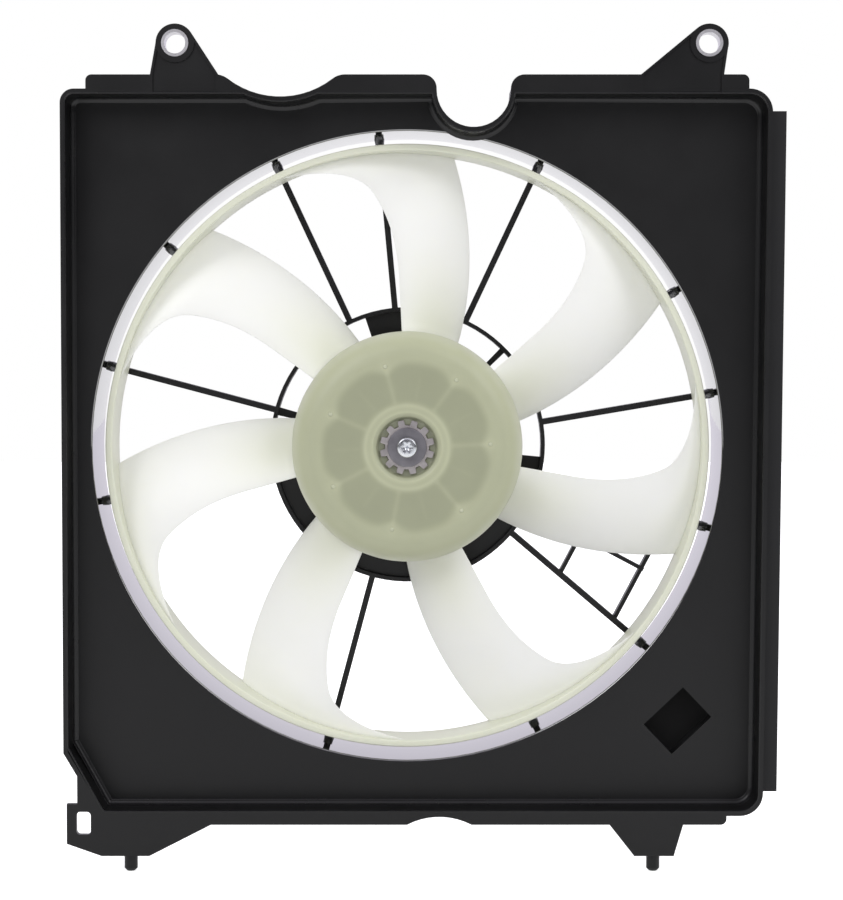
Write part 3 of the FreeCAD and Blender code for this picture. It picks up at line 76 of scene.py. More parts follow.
# %% Camera
LOOK_AT = np.array([-0.0120, TRAY_FRONT, -0.2368])
DISTANCE = 1.300
TILT = math.radians(2.0)

camera_data = bpy.data.cameras.new("camera")
camera_data.sensor_fit = "VERTICAL"
camera_data.sensor_height = 36.0
camera_data.lens = 88.9
camera = bpy.data.objects.new("camera", camera_data)
bpy.context.scene.collection.objects.link(camera)
camera.location = LOOK_AT + DISTANCE * np.array([0.0, -math.cos(TILT), math.sin(TILT)])
camera.rotation_euler = (math.pi / 2 - TILT, 0.0, 0.0)
bpy.context.scene.camera = camera
print("the camera stands at", np.round(camera.location, 4))

# %% [markdown]
# Colours are given as sRGB hex values, and a shader wants them linear.
# One function turns them, one feeds a node's sockets, and one adds a node.

# %% Colour and node helpers


def linear(code):
    """Turns an sRGB hex value into linear red, green, blue and alpha."""
    channels = [int(code[place:place + 2], 16) / 255 for place in (0, 2, 4)]
    return [c / 12.92 if c <= 0.04045 else ((c + 0.055) / 1.055) ** 2.4 for c in channels] + [1.0]


def feed(tree, node, feeds):
    """Gives each named socket of a node another node's output, or else a plain value."""
    for socket, source in feeds.items():
        if isinstance(source, bpy.types.NodeSocket):
            tree.links.new(source, node.inputs[socket])
        else:
            node.inputs[socket].default_value = source


def add(tree, kind, feeds=None, stops=(), **settings):
    """Adds a node with its settings and feeds; a ramp has stops of a position and a hex value."""
    node = tree.nodes.new("ShaderNode" + kind)
    for name, setting in settings.items():
        setattr(node, name, setting)
    for number, (position, code) in enumerate(stops):
        elements = node.color_ramp.elements
        element = elements[number] if number < 2 else elements.new(position)
        element.position, element.color = position, linear(code)
    feed(tree, node, feeds or {})
    return node


def start(name):
    """Starts a material with its shader, and gives the tree, the shader and Object coordinates."""
    material = bpy.data.materials.new(name)
    material.use_nodes = True
    tree = material.node_tree
    shader = tree.nodes["Principled BSDF"]
    place = add(tree, "TexCoord").outputs["Object"]
    return material, tree, shader, place


print("the mid grey 808080 is", round(linear("808080")[0], 3), "in linear light")

# %% [markdown]
# The shroud is injection moulded polypropylene, coloured black through. The mould of the tray was
# spark eroded, which leaves a satin skin with a fine grain, and slow flow leaves faint clouds in
# its gloss. Noise keeps to the middle of its range, so that part is stretched over the whole.
# The real grain is finer still: it is drawn 0.35 mm wide so that it can show. Rubber is duller
# than the plastic, and the moulded edges and feet, pressed against polished steel, are glossier.
# The feet's lighter grey base colour is a painted reflection.

# %% Black plastic
NOISE_SPREAD = {"From Min": 0.3, "From Max": 0.7}


def moulded_black(name, skin, rough, sheen=0.0, regions=None):
    """Moulded black plastic: clouds of 60 mm move its tint and gloss, a grain of 0.35 mm bumps it.

    The sheen is a gloss coat over the whole piece. Regions is a function that changes the tint,
    gloss and grain by place.
    """
    material, tree, shader, place = start(name)
    clouds = add(tree, "TexNoise", {"Vector": place, "Scale": 1 / 0.060, "Detail": 3.0,
                                    "Roughness": 0.55}).outputs["Fac"]
    tint = add(tree, "ValToRGB", {"Fac": clouds}, [(0.3, skin[0]), (0.7, skin[1])]).outputs["Color"]
    gloss = add(tree, "MapRange", {"Value": clouds, **NOISE_SPREAD, "To Min": rough[0],
                                   "To Max": rough[1]}).outputs["Result"]
    grain = add(tree, "TexNoise", {"Vector": place, "Scale": 1 / 0.00035,
                                   "Detail": 2.0}).outputs["Fac"]
    feed(tree, shader, {"IOR": 1.43, "Coat Weight": sheen, "Coat IOR": 2.9})
    if regions:
        tint, gloss, grain = regions(tree, shader, place, tint, gloss, grain)
    bump = add(tree, "Bump", {"Height": grain, "Distance": 0.00003})
    feed(tree, shader, {"Base Color": tint, "Roughness": gloss, "Normal": bump.outputs["Normal"]})
    return material


strip_black = moulded_black("extruded_black_rubber", ("111113", "18181a"), (0.50, 0.62))
# The strut feet's lighter grey, 3c3e42 to 484a4f, is a painted reflection on black plastic.
foot_black_painted_reflection = moulded_black("moulded_black_strut_foot_painted_reflection", ("3c3e42", "484a4f"), (0.20, 0.28),
                           sheen=0.4)
socket_black = moulded_black("moulded_black_nylon", ("121212", "1a1a1a"), (0.35, 0.45))
edge_black = moulded_black("moulded_black_edge", ("0e0e0f", "151516"), (0.24, 0.32))
print("made", strip_black.name, foot_black_painted_reflection.name, socket_black.name, edge_black.name)

# %% [markdown]
# Two places of the shroud differ. The barrel's mould was turned and polished, so its wall mirrors
# the bright background at a flat angle, and this is why a lilac band runs round the fan in the
# photograph. The square well is painted near black and made dull, as painted shade for its depth.

# %% Barrel wall and painted shade of the well
BARREL_WALL, WALL_REACH, WALL_ROUGH = 0.1875, 0.0008, 0.08
WELL_FLOOR = (FAN_AXIS[0] + 0.1616, 0.0410, FAN_AXIS[2] - 0.1638)
WELL_INNER, WELL_OUTER, WELL_ROUGH = 0.019, 0.021, 0.85


def shroud_regions(tree, shader, place, tint, gloss, grain):
    """Finds the well by the distance from a point in its floor, the wall by its radius.

    The well's painted shade is full below its inner distance and fades to none at the outer one.
    The wall is where the distance from the axis, with y left out, is its radius within the reach.
    """
    off = add(tree, "VectorMath", {0: place, 1: WELL_FLOOR}, operation="DISTANCE").outputs["Value"]
    well_painted_shade = add(tree, "MapRange", {"Value": off, "From Min": WELL_OUTER,
                                  "From Max": WELL_INNER}).outputs["Result"]
    # Painted shade: the well's floor and walls go near black, 040404, and dull.
    dark = add(tree, "Mix", {"Factor": well_painted_shade, 6: tint, 7: linear("040404")}, data_type="RGBA")
    dull = add(tree, "Mix", {"Factor": well_painted_shade, "A": gloss, "B": WELL_ROUGH}).outputs["Result"]
    level = add(tree, "VectorMath", {0: place, 1: (1.0, 0.0, 1.0)}, operation="MULTIPLY")
    radius = add(tree, "VectorMath", {0: level.outputs["Vector"],
                                      1: (FAN_AXIS[0], 0.0, FAN_AXIS[2])}, operation="DISTANCE")
    wall = add(tree, "Math", {0: radius.outputs["Value"], 1: BARREL_WALL, 2: WALL_REACH},
               operation="COMPARE").outputs["Value"]
    polish = add(tree, "Mix", {"Factor": wall, "A": dull, "B": WALL_ROUGH})
    elsewhere = add(tree, "Math", {0: 1.0, 1: wall}, operation="SUBTRACT").outputs["Value"]
    height = add(tree, "Math", {0: grain, 1: elsewhere}, operation="MULTIPLY")
    feed(tree, shader, {"Coat Weight": wall, "Coat Roughness": WALL_ROUGH / 2})
    return dark.outputs[2], polish.outputs["Result"], height.outputs["Value"]


shroud_black = moulded_black("moulded_black_polypropylene", ("0c0c0d", "121213"), (0.36, 0.44),
                             regions=shroud_regions)
print("made", shroud_black.name, "with", len(shroud_black.node_tree.nodes), "nodes")

# %% [markdown]
# Small steel pieces are zinc plated and passivated: a light, faintly warm metal with soft tool
# marks. The motor's can is deep drawn steel with a thick coat of black paint, whose orange peel
# is a slow bump. Bearings are sintered bronze, full of pores and oil. Die cast zinc and the
# phosphated washer are grey and dull, ground steel is bright, spring steel darker from its
# tempering, and core sheets are grey with scale. Turned copper is warm and bright, the varnish
# makes the winding a deep red brown, and tinned brass is nearly white.

# %% Metals


def plain_metal(name, tint, rough, grain=0.0006, depth=0.000015):
    """A metal: patches of 8 mm move its tint, marks of one grain move its roughness and height.

    Grain and depth are in metres.
    """
    material, tree, shader, place = start(name)
    marks = add(tree, "TexNoise", {"Vector": place, "Scale": 1 / grain,
                                   "Detail": 3.0}).outputs["Fac"]
    patches = add(tree, "TexNoise", {"Vector": place, "Scale": 1 / 0.008, "Detail": 2.0})
    colour = add(tree, "ValToRGB", {"Fac": patches.outputs["Fac"]},
                 [(0.35, tint[0]), (0.65, tint[1])])
    gloss = add(tree, "MapRange", {"Value": marks, **NOISE_SPREAD, "To Min": rough[0],
                                   "To Max": rough[1]})
    bump = add(tree, "Bump", {"Height": marks, "Distance": depth})
    feed(tree, shader, {"Base Color": colour.outputs["Color"], "Metallic": 1.0,
                        "Roughness": gloss.outputs["Result"], "Normal": bump.outputs["Normal"]})
    return material


def painted_steel(name, tint, peel=0.0025):
    """Thick paint on drawn steel; peel is the width of the orange peel in metres."""
    material, tree, shader, place = start(name)
    waves = add(tree, "TexNoise", {"Vector": place, "Scale": 1 / peel, "Detail": 1.0})
    dust = add(tree, "TexNoise", {"Vector": place, "Scale": 1 / 0.03, "Detail": 4.0})
    colour = add(tree, "ValToRGB", {"Fac": dust.outputs["Fac"]}, [(0.35, tint[0]), (0.7, tint[1])])
    bump = add(tree, "Bump", {"Height": waves.outputs["Fac"], "Distance": 0.00004})
    feed(tree, shader, {"Base Color": colour.outputs["Color"], "Roughness": 0.34, "IOR": 1.5,
                        "Normal": bump.outputs["Normal"]})
    return material


zinc_plate = plain_metal("zinc_plated_steel", ("b9b7b0", "d2d0ca"), (0.22, 0.38))
collar_steel = plain_metal("zinc_plated_collar", ("d6d5d8", "e4e3e6"), (0.34, 0.48))
dull_washer = plain_metal("phosphated_steel", ("7d7b80", "8a888d"), (0.42, 0.55))
cast_zinc = plain_metal("die_cast_zinc", ("a5a0a0", "b8b3b3"), (0.48, 0.60), 0.0009, 0.00002)
bright_zinc = plain_metal("bright_zinc_plate", ("cfd2d6", "dee0e3"), (0.20, 0.30), 0.006, 0.000002)
ground_steel = plain_metal("ground_steel", ("a9a9ad", "c2c2c6"), (0.18, 0.30))
spring_steel = plain_metal("spring_steel", ("77787c", "8f9094"), (0.25, 0.35))
laminations = plain_metal("laminated_core_steel", ("5c5e63", "76787d"), (0.40, 0.55))
bronze = plain_metal("sintered_bronze", ("8a6a3c", "a58250"), (0.45, 0.60), 0.0004, 0.00004)
copper_bars = plain_metal("turned_copper", ("b5683f", "c98157"), (0.22, 0.36))
copper_wire = plain_metal("enamelled_copper_wire", ("7d3216", "9c4a22"), (0.25, 0.40), 0.0009,
                          0.0002)
tinned_brass = plain_metal("tinned_brass", ("c4c1b8", "dad7cf"), (0.20, 0.32))
can_paint = painted_steel("dip_painted_steel", ("151516", "232324"))
print("materials so far:", len(bpy.data.materials))

# %% [markdown]
# The magnets are ground ferrite, the brushes pressed carbon and the brush card a brown phenolic
# moulding. None of them is a metal, and all show the specks of the powder that they came from.

# %% Pressed solids


def dull_solid(name, tint, rough, grain, depth):
    """A pressed or moulded solid: specks of one grain, in metres, move its tint and its height."""
    material, tree, shader, place = start(name)
    specks = add(tree, "TexNoise", {"Vector": place, "Scale": 1 / grain,
                                    "Detail": 3.0}).outputs["Fac"]
    colour = add(tree, "ValToRGB", {"Fac": specks}, [(0.3, tint[0]), (0.7, tint[1])])
    bump = add(tree, "Bump", {"Height": specks, "Distance": depth})
    feed(tree, shader, {"Base Color": colour.outputs["Color"], "Roughness": rough,
                        "Normal": bump.outputs["Normal"]})
    return material


ferrite = dull_solid("ground_ferrite", ("2b2b2e", "39393d"), 0.5, 0.0008, 0.00003)
carbon = dull_solid("pressed_carbon", ("161616", "242424"), 0.55, 0.0005, 0.00003)
phenolic = dull_solid("moulded_phenolic", ("3a2113", "4d2e1b"), 0.42, 0.0012, 0.00003)
print("made", ferrite.name, carbon.name, phenolic.name)

# %% [markdown]
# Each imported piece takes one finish, in the one slot of its mesh. The meshes are loose flat
# triangles. A Weld modifier joins them without touching the mesh, and an Edge Split keeps the
# creases sharp while the curved faces between them go smooth.

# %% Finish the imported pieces
CREASE, WELD_REACH = math.radians(28.0), 0.00001
FINISHES = {
    "shroud": shroud_black, "side_seal_strip": strip_black,
    "left_collar": collar_steel, "right_collar": collar_steel,
    "motor_bracket": zinc_plate, "motor_can": can_paint,
    "magnet_1": ferrite, "magnet_2": ferrite, "magnet_3": ferrite, "magnet_4": ferrite,
    "front_bearing": bronze, "rear_bearing": bronze, "motor_shaft": ground_steel,
    "armature_core": laminations, "armature_winding": copper_wire, "commutator": copper_bars,
    "brush_card": phenolic, "brush_1": carbon, "brush_2": carbon,
    "brush_spring_1": spring_steel, "brush_spring_2": spring_steel, "card_screws": zinc_plate,
    "connector_housing": socket_black, "connector_terminals": tinned_brass,
    "motor_screws": zinc_plate, "thrust_washer": ground_steel, "shaft_clip": spring_steel,
    "hub_insert": cast_zinc, "hub_washer": dull_washer, "hub_screw": bright_zinc,
}
for node, finish in FINISHES.items():
    mesh = nodes[node].data
    mesh.materials.clear()
    mesh.materials.append(finish)
    mesh.polygons.foreach_set("use_smooth", np.ones(len(mesh.polygons), bool))
    nodes[node].modifiers.new("weld", "WELD").merge_threshold = WELD_REACH
    nodes[node].modifiers.new("creases", "EDGE_SPLIT").split_angle = CREASE
print("finished and smoothed", len(FINISHES), "pieces of the packed model")

# %% [markdown]
# The fan is natural nylon, unpainted: cream where it is thin and bright, olive where it is thick
# or has the dark motor behind it. Light goes into it and comes out softly elsewhere, which is
# what subsurface scattering does. How much plastic and what lies behind a point isn't known to a
# shader, so each surface carries an attribute, shade, from 0 (clear) to 1 (deep), and the colour
# follows it: a painted shade for the dark motor behind and for corners, a painted glow where light
# comes through. The attribute is worked out by the same arrays that work out the shape. The skin's
# fine grain is drawn 1.2 mm wide, coarser than it is, so that it softens the gloss.

# %% Natural nylon
CLEAR_TO_DEEP = [(0.00, "fafaf6"), (0.25, "eeefe4"), (0.45, "dcdecb"), (0.65, "bcbfa2"),
                 (0.82, "a4a78c"), (1.00, "8b8e78")]


def natural_nylon(name):
    """Translucent nylon: its colour follows shade, moved up or down 0.03 by clouds of 25 mm."""
    material, tree, shader, place = start(name)
    shade = add(tree, "Attribute", attribute_name="shade").outputs["Fac"]
    clouds = add(tree, "TexNoise", {"Vector": place, "Scale": 1 / 0.025, "Detail": 3.0})
    drift = add(tree, "Math", {0: clouds.outputs["Fac"], 1: 0.06, 2: -0.03},
                operation="MULTIPLY_ADD")
    level = add(tree, "Math", {0: shade, 1: drift.outputs["Value"]}, operation="ADD")
    colour = add(tree, "ValToRGB", {"Fac": level.outputs["Value"]}, CLEAR_TO_DEEP)
    grain = add(tree, "TexNoise", {"Vector": place, "Scale": 1 / 0.0012, "Detail": 2.0})
    bump = add(tree, "Bump", {"Height": grain.outputs["Fac"], "Distance": 0.00002})
    feed(tree, shader, {
        "Base Color": colour.outputs["Color"], "Roughness": 0.42, "IOR": 1.53,
        "Subsurface Weight": 0.35, "Subsurface Radius": (1.0, 0.98, 0.88),
        "Subsurface Scale": 0.004, "Normal": bump.outputs["Normal"]})
    return material


nylon = natural_nylon("moulded_natural_nylon")
print("made", nylon.name, "with", len(CLEAR_TO_DEEP), "colours from clear to deep")

# %% [markdown]
# Every piece that is made here is a grid of points. One helper turns a grid into a mesh: the
# columns close on themselves, the rows close too or their two ends get a lid, and a signed volume
# says whether the faces point outwards.

# %% Surface helper


def surface(name, points, shade, finish=None, body="rotor", caps=False):
    """Makes a closed tube of a (rows, columns, 3) grid whose columns close on themselves.

    Rows close too, unless caps is true: then each end is closed by pairing the points of its loop.
    The signed volume is a sixth of the sum of a . (b x c) over the faces' triangles.
    """
    rows, columns = points.shape[:2]
    index = np.arange(rows * columns).reshape(rows, columns)
    across = np.roll(index, -1, axis=1)
    first, second = (index[:-1], index[1:]) if caps else (index, np.roll(index, -1, axis=0))
    after, beyond = (across[:-1], across[1:]) if caps else (across, np.roll(across, -1, axis=0))
    faces = np.stack([first, second, beyond, after], axis=-1).reshape(-1, 4)
    if caps:
        half = columns // 2
        near, far = np.arange(half - 1), columns - 1 - np.arange(half - 1)
        for loop, way in ((index[0], 1), (index[-1], -1)):
            lid = np.stack([loop[near], loop[near + 1], loop[far - 1], loop[far]], axis=-1)
            faces = np.concatenate([faces, lid[:, ::way]])
    flat = points.reshape(-1, 3)
    corners = flat[faces]
    volume = np.einsum("ij,ij->i", corners[:, 0], np.cross(corners[:, 1], corners[:, 2])).sum()
    volume += np.einsum("ij,ij->i", corners[:, 0], np.cross(corners[:, 2], corners[:, 3])).sum()
    if volume < 0:
        faces = faces[:, ::-1]
    mesh = bpy.data.meshes.new(name)
    mesh.from_pydata(flat.tolist(), [], faces.tolist())
    mesh.polygons.foreach_set("use_smooth", np.ones(len(faces), bool))
    layer = mesh.attributes.new("shade", "FLOAT", "POINT")
    layer.data.foreach_set("value", np.broadcast_to(shade, points.shape[:2]).astype("f").ravel())
    mesh.materials.append(finish or nylon)
    piece = bpy.data.objects.new(name, mesh)
    bpy.context.scene.collection.objects.link(piece)
    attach(piece, body)
    print(name, len(flat), "points,", round(abs(volume) / 6 * 1e9), "cubic mm")
    return piece


def about_axis(radius, angle, depth):
    """Places points given by radius, angle in degrees and depth, all in mm, about the axis."""
    turn = np.radians(angle)
    spread = np.stack(np.broadcast_arrays(radius * np.cos(turn), depth, radius * np.sin(turn)), -1)
    return FAN_AXIS + spread / 1000


def ease(value, low, high):
    """Goes smoothly from 0 at low to 1 at high: 3t squared minus 2t cubed."""
    t = np.clip((value - low) / (high - low), 0, 1)
    return t * t * (3 - 2 * t)


def bell(value, width):
    """Is 1 at 0 and falls off on both sides: e to the minus square of value over width."""
    return np.exp(-(value / width) ** 2)


print("a quarter of the way ease gives", ease(0.25, 0, 1), "and bell", round(bell(0.25, 1), 3))

# %% [markdown]
# A blade is a function of two parameters, the radius and the way round its section. Its trailing
# edge turns evenly with the radius and its leading edge sweeps forward in a hook at the ring.
# From the leading edge to the trailing edge the section falls away from the radiator along a
# camber line, and its two skins close in round edges. Near the hub and the ring the section
# grows thick again, as a mould's fillet does. The shade is clear outwards and deep at the root.

# %% Blades
BLADES = 7
HUB_RADIUS, RING_OUTSIDE, RING_WALL = 69.0, 178.6, 2.2
RING_INSIDE = RING_OUTSIDE - RING_WALL
HOOK_FROM = 150.0


def blade_edges(radius):
    """Gives the trailing and the leading angle at a radius, in degrees.

    The trailing angle grows in a line. The leading angle grows with the square of the radius
    beyond 100 mm, and with a cube from the start of the hook.
    """
    trail = 12.0 + 0.161 * (radius - HUB_RADIUS)
    hook = np.clip((radius - HOOK_FROM) / (RING_INSIDE - HOOK_FROM), 0, None)
    lead = 41.3 + 0.00175 * np.clip(radius - 100.0, 0, None) ** 2 + 12.0 * hook ** 3
    return trail, lead


def blade_section(columns):
    """Gives (along, side) round a section: a cosine along it, a blunted sine from skin to skin."""
    turn = 2 * np.pi * (np.arange(columns) + 0.5) / columns
    return 0.5 - 0.5 * np.cos(turn), np.sign(np.sin(turn)) * np.abs(np.sin(turn)) ** 0.75


def blade_grid(number, rows=72, columns=56):
    """Works out one blade's points and their shade.

    The depth falls from front to back along the chord, on a line that sags by a parabola, plus
    or minus half the thickness: a parabola along the chord, and bells of e at root and tip.
    """
    radius = np.linspace(HUB_RADIUS - 1.4, RING_INSIDE + 1.0, rows)[:, None]
    along, side = (part[None, :] for part in blade_section(columns))
    trail, lead = blade_edges(radius)
    reach = (radius - HUB_RADIUS) / (RING_OUTSIDE - HUB_RADIUS)
    front = 31.0 + 2.0 * reach
    back = 58.0 - 2.0 * reach
    fall = 1 - along
    shape = fall - 0.35 * fall * (1 - fall)
    middle = 4 * along * (1 - along)
    root = np.exp(-np.clip(radius - HUB_RADIUS, 0, None) / 3.0)
    tip = np.exp(-np.clip(RING_INSIDE - radius, 0, None) / 2.0)
    half = 0.65 + 0.95 * middle + 3.0 * root + 1.6 * tip
    depth = front + (back - front) * shape + side * half
    angle = trail + (lead - trail) * along + 360.0 / BLADES * number
    glow = 0.32 * (1 - ease(radius, 69, 135)) * (0.45 + 0.55 * middle)
    # Near the ring a painted shade deepens the blade where it meets the ring.
    shade = 0.02 + glow + 0.10 * ease(radius, 172, 176)
    return about_axis(radius, angle, depth), np.broadcast_to(shade, depth.shape)


blades = [surface("blade_%d" % (number + 1), *blade_grid(number), caps=True)
          for number in range(BLADES)]
print("made", len(blades), "blades")

# %% [markdown]
# Hub and ring are turned shapes: a closed profile carried round the axis. A profile is drawn as
# corners with radii, and the helper replaces each corner by an arc, so that every edge of the
# moulding is round like the real one. Arcs that shrink to a point would leave faces without area,
# so points that repeat are left out.

# %% Turned helper


def rounded(corners, steps=6):
    """Replaces each (radius, depth, rounding) corner of a closed profile by a tangent arc.

    The arc is a rational parabola through both tangent points, drawn to the corner with the sine
    of half the corner's angle as its weight, which makes it a circle.
    """
    corners = np.array(corners, float)
    here, rounding = corners[:, :2], corners[:, 2:]
    before = np.roll(here, 1, axis=0) - here
    after = np.roll(here, -1, axis=0) - here
    before /= np.linalg.norm(before, axis=1, keepdims=True)
    after /= np.linalg.norm(after, axis=1, keepdims=True)
    half = np.arccos(np.clip((before * after).sum(1, keepdims=True), -1, 1)) / 2
    cut = rounding / np.tan(half)
    t = np.linspace(0, 1, steps)[None, :, None]
    begin, end = (here + before * cut)[:, None], (here + after * cut)[:, None]
    weight = 2 * np.sin(half)[:, None] * t * (1 - t)
    arc = (1 - t) ** 2 * begin + weight * here[:, None] + t ** 2 * end
    return (arc / ((1 - t) ** 2 + weight + t ** 2)).reshape(-1, 2)


def distinct(path):
    """Leaves out each point of a closed path that repeats the one before it."""
    return path[np.linalg.norm(path - np.roll(path, 1, axis=0), axis=1) > 1e-5]


def turned(name, corners, shade, columns=256, **more):
    """Carries a rounded profile round the axis; shade is a number, or a function of both."""
    profile = distinct(rounded(corners))
    angle = 360.0 / columns * np.arange(columns)[:, None]
    radius, depth = profile[None, :, 0], profile[None, :, 1]
    points = about_axis(radius, angle, np.broadcast_to(depth, (columns, len(profile))))
    value = shade(radius, angle) if callable(shade) else shade
    return surface(name, points, value, **more)


square = [(0, 0, 2), (10, 0, 2), (10, 10, 2), (0, 10, 2)]
print("a square with round corners has", len(distinct(rounded(square))), "points")

# %% [markdown]
# The ring ties the blades' tips together. Its front edge turns outwards in a small lip.

# %% Ring
RING_FRONT, FAN_BACK, LIP, LIP_BACK = 28.0, 62.0, 1.8, 31.0
ring = turned("fan_ring", [
    (RING_INSIDE, RING_FRONT, 0.9), (RING_OUTSIDE + LIP, RING_FRONT, 0.9),
    (RING_OUTSIDE + LIP, LIP_BACK, 0.8), (RING_OUTSIDE, LIP_BACK, 0.3),
    (RING_OUTSIDE, FAN_BACK, 0.8), (RING_INSIDE, FAN_BACK, 0.8)], 0.42, columns=320)
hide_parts("fan")

# %% [markdown]
# The hub is a shallow cup with a round shoulder. Its face is fine enough in radius for the shade
# to paint what shows through the nylon: the painted shadow of the dark motor behind the middle,
# lighter ribs and rings where the ribs stand behind the face, and the halo of each gate mark. A
# painted glow lightens the rim, and painted shade darkens the pocket in the middle.

# %% Shade of the hub
GATE_TURN, GATE_RADIUS = 2.3, 49.4


def hub_shade(radius, angle):
    """Painted light and shade: deep over the motor, lighter over ribs, rings, gates and the rim,
    deep again in the pocket.

    A rib is a bell across its middle line, in mm. One runs to each gate, with a faint one between,
    and the motor's outline draws in by a bell at each gate.
    """
    pitch = 360.0 / BLADES
    off = (angle - GATE_TURN + pitch / 2) % pitch - pitch / 2
    between = (angle - GATE_TURN) % pitch - pitch / 2
    across, faint = np.radians(off) * radius, np.radians(between) * radius
    rib = bell(across, 1.7) * ease(radius, 25.0, 28.0) * (1 - ease(radius, 45.0, 49.0))
    thin_rib = bell(faint, 1.3) * ease(radius, 27.0, 30.0) * (1 - ease(radius, 40.0, 46.0))
    edge = 50.0 - 4.5 * bell(across, 7.0)
    # Painted shadow of the motor that stands behind the face.
    motor = ease(radius, 24.0, 29.0) * (1 - ease(radius, edge - 3.5, edge + 3.0))
    rings = bell(radius - 24.8, 1.2) + 0.8 * bell(radius - 20.6, 1.1)
    halo = bell(np.hypot(radius - GATE_RADIUS, across), 3.2)
    # A painted glow at the rim and a painted shade in the pocket.
    rim, pocket_painted_shade = ease(radius, 57.0, 69.0), 1 - ease(radius, 16.5, 19.6)
    return (0.73 + 0.13 * motor - 0.07 * rib - 0.02 * thin_rib - 0.06 * rings - 0.05 * halo
            - 0.16 * rim + 0.26 * pocket_painted_shade)


print("at a gate the shade is", hub_shade(GATE_RADIUS, GATE_TURN).round(2))

# %% [markdown]
# Along the flat face, corners without rounding every 0.45 mm give the shade points to live on.
# In the middle the face dips to a shelf, on which the insert's teeth lie open.

# %% Hub
HUB_FACE, HUB_WALL, BEHIND_FACE, SOCKET_RADIUS, SOCKET_BACK = 14.0, 2.6, 16.6, 19.8, 34.0
SHELF, INSERT_ROOT, INSERT_TIP, POCKET = 17.6, 13.1, 16.2, 17.0
FACE_FROM, FACE_TO, FACE_STEP = 21.6, 52.5, 0.45

hub = turned("hub_shell", [
    (INSERT_ROOT + 0.2, SHELF, 0.1), (POCKET, SHELF, 0.9), (18.2, 15.3, 1.0), (20.6, HUB_FACE, 0.9)]
    + [(radius, HUB_FACE, 0.0) for radius in np.arange(FACE_FROM, FACE_TO, FACE_STEP)]
    + [(HUB_RADIUS, HUB_FACE, 16.5), (HUB_RADIUS, FAN_BACK, 0.8),
       (HUB_RADIUS - HUB_WALL, FAN_BACK, 0.8), (HUB_RADIUS - HUB_WALL, BEHIND_FACE, 14.0),
       (SOCKET_RADIUS, BEHIND_FACE, 0.8), (SOCKET_RADIUS, SOCKET_BACK, 0.6),
       (INSERT_ROOT + 0.2, SOCKET_BACK, 0.6)],
    hub_shade, columns=640)
print("the hub has", len(hub.data.polygons), "faces")

# %% [markdown]
# The hub is moulded round a die cast insert, which drives it from the shaft. Its twelve teeth lie
# open in the middle of the hub. The same grid as for the hub gives it, with the radius of its
# front part swelling at each tooth.

# %% Drive insert
TEETH, TOOTH_TURN = 12, 13.4
INSERT_BORE, INSERT_FRONT, INSERT_BACK = 4.2, 15.5, 29.5


def drive_insert(rows=720):
    """A turned body with teeth: near its front the outer radius is a rounded square wave.

    The wave is a cosine with one period a tooth, eased from 0 to 1 between -0.45 and 0.35.
    """
    angle = 360.0 / rows * np.arange(rows)[:, None]
    profile = distinct(rounded([
        (INSERT_BORE, INSERT_FRONT, 0.3), (INSERT_ROOT, INSERT_FRONT, 0.4),
        (INSERT_ROOT, SHELF - 0.1, 0.0), (INSERT_ROOT, INSERT_BACK, 0.6),
        (INSERT_BORE, INSERT_BACK, 0.3)]))
    radius, depth = profile[None, :, 0], profile[None, :, 1]
    tooth = ease(np.cos(np.radians(angle - TOOTH_TURN) * TEETH), -0.45, 0.35)
    toothed = (radius > INSERT_ROOT - 1.0) & (depth < SHELF)
    return about_axis(radius + toothed * tooth * (INSERT_TIP - INSERT_ROOT), angle, depth)


insert = surface("drive_insert", drive_insert(), 0.0, finish=cast_zinc)
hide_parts("hub_insert")

# %% [markdown]
# A washer and a screw hold the fan on the shaft. The washer's edges are round from stamping. The
# screw has a domed head, whose socket has six lobes: its radius swells six times round. A pole
# would pinch the faces, so the screw's profile ends just short of the axis.

# %% Washer and screw
WASHER_BORE, WASHER_RADIUS, WASHER_FRONT, WASHER_BACK = 2.7, 11.6, 14.0, 15.45
SHANK, HEAD_RADIUS, HEAD_FRONT, HEAD_BACK, SCREW_BACK = 2.5, 6.0, 10.0, 13.95, 29.5
SOCKET_FLOOR, LOBES, LOBE_HEIGHT, NEAR_AXIS = 12.4, 6, 0.55, 0.05

washer = turned("washer_disc", [
    (WASHER_BORE, WASHER_FRONT, 0.2), (WASHER_RADIUS, WASHER_FRONT, 0.6),
    (WASHER_RADIUS, WASHER_BACK, 0.3), (WASHER_BORE, WASHER_BACK, 0.2)], 0.0, finish=dull_washer)
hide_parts("hub_washer")


def socket_screw(rows=240):
    """A turned screw; a cosine with six periods moves the points of its socket's wall."""
    angle = 360.0 / rows * np.arange(rows)[:, None]
    profile = distinct(rounded([
        (NEAR_AXIS, SOCKET_FLOOR, 0.0), (2.9, SOCKET_FLOOR, 0.2), (3.2, HEAD_FRONT, 0.25),
        (HEAD_RADIUS, HEAD_FRONT + 0.3, 1.3), (HEAD_RADIUS, HEAD_BACK, 0.2),
        (SHANK, HEAD_BACK, 0.1), (SHANK, SCREW_BACK, 0.8), (NEAR_AXIS, SCREW_BACK, 0.0)]))
    radius, depth = profile[None, :, 0], profile[None, :, 1]
    wall = (radius > 2.6) & (radius < 3.6) & (depth < SOCKET_FLOOR + 0.2)
    lobe = LOBE_HEIGHT * np.cos(np.radians(angle) * LOBES)
    return about_axis(radius + wall * lobe, angle, depth)


screw = surface("socket_screw", socket_screw(), 0.0, finish=bright_zinc)
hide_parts("hub_screw")

# %% [markdown]
# The nylon entered the mould at seven gates, one behind each blade's root. Each left a small
# bright stub with a round edge on the hub's face, broken off and not trimmed.

# %% Gate stubs
STUB_FOOT, STUB_TOP, STUB_HEIGHT = 1.2, 0.5, 0.6


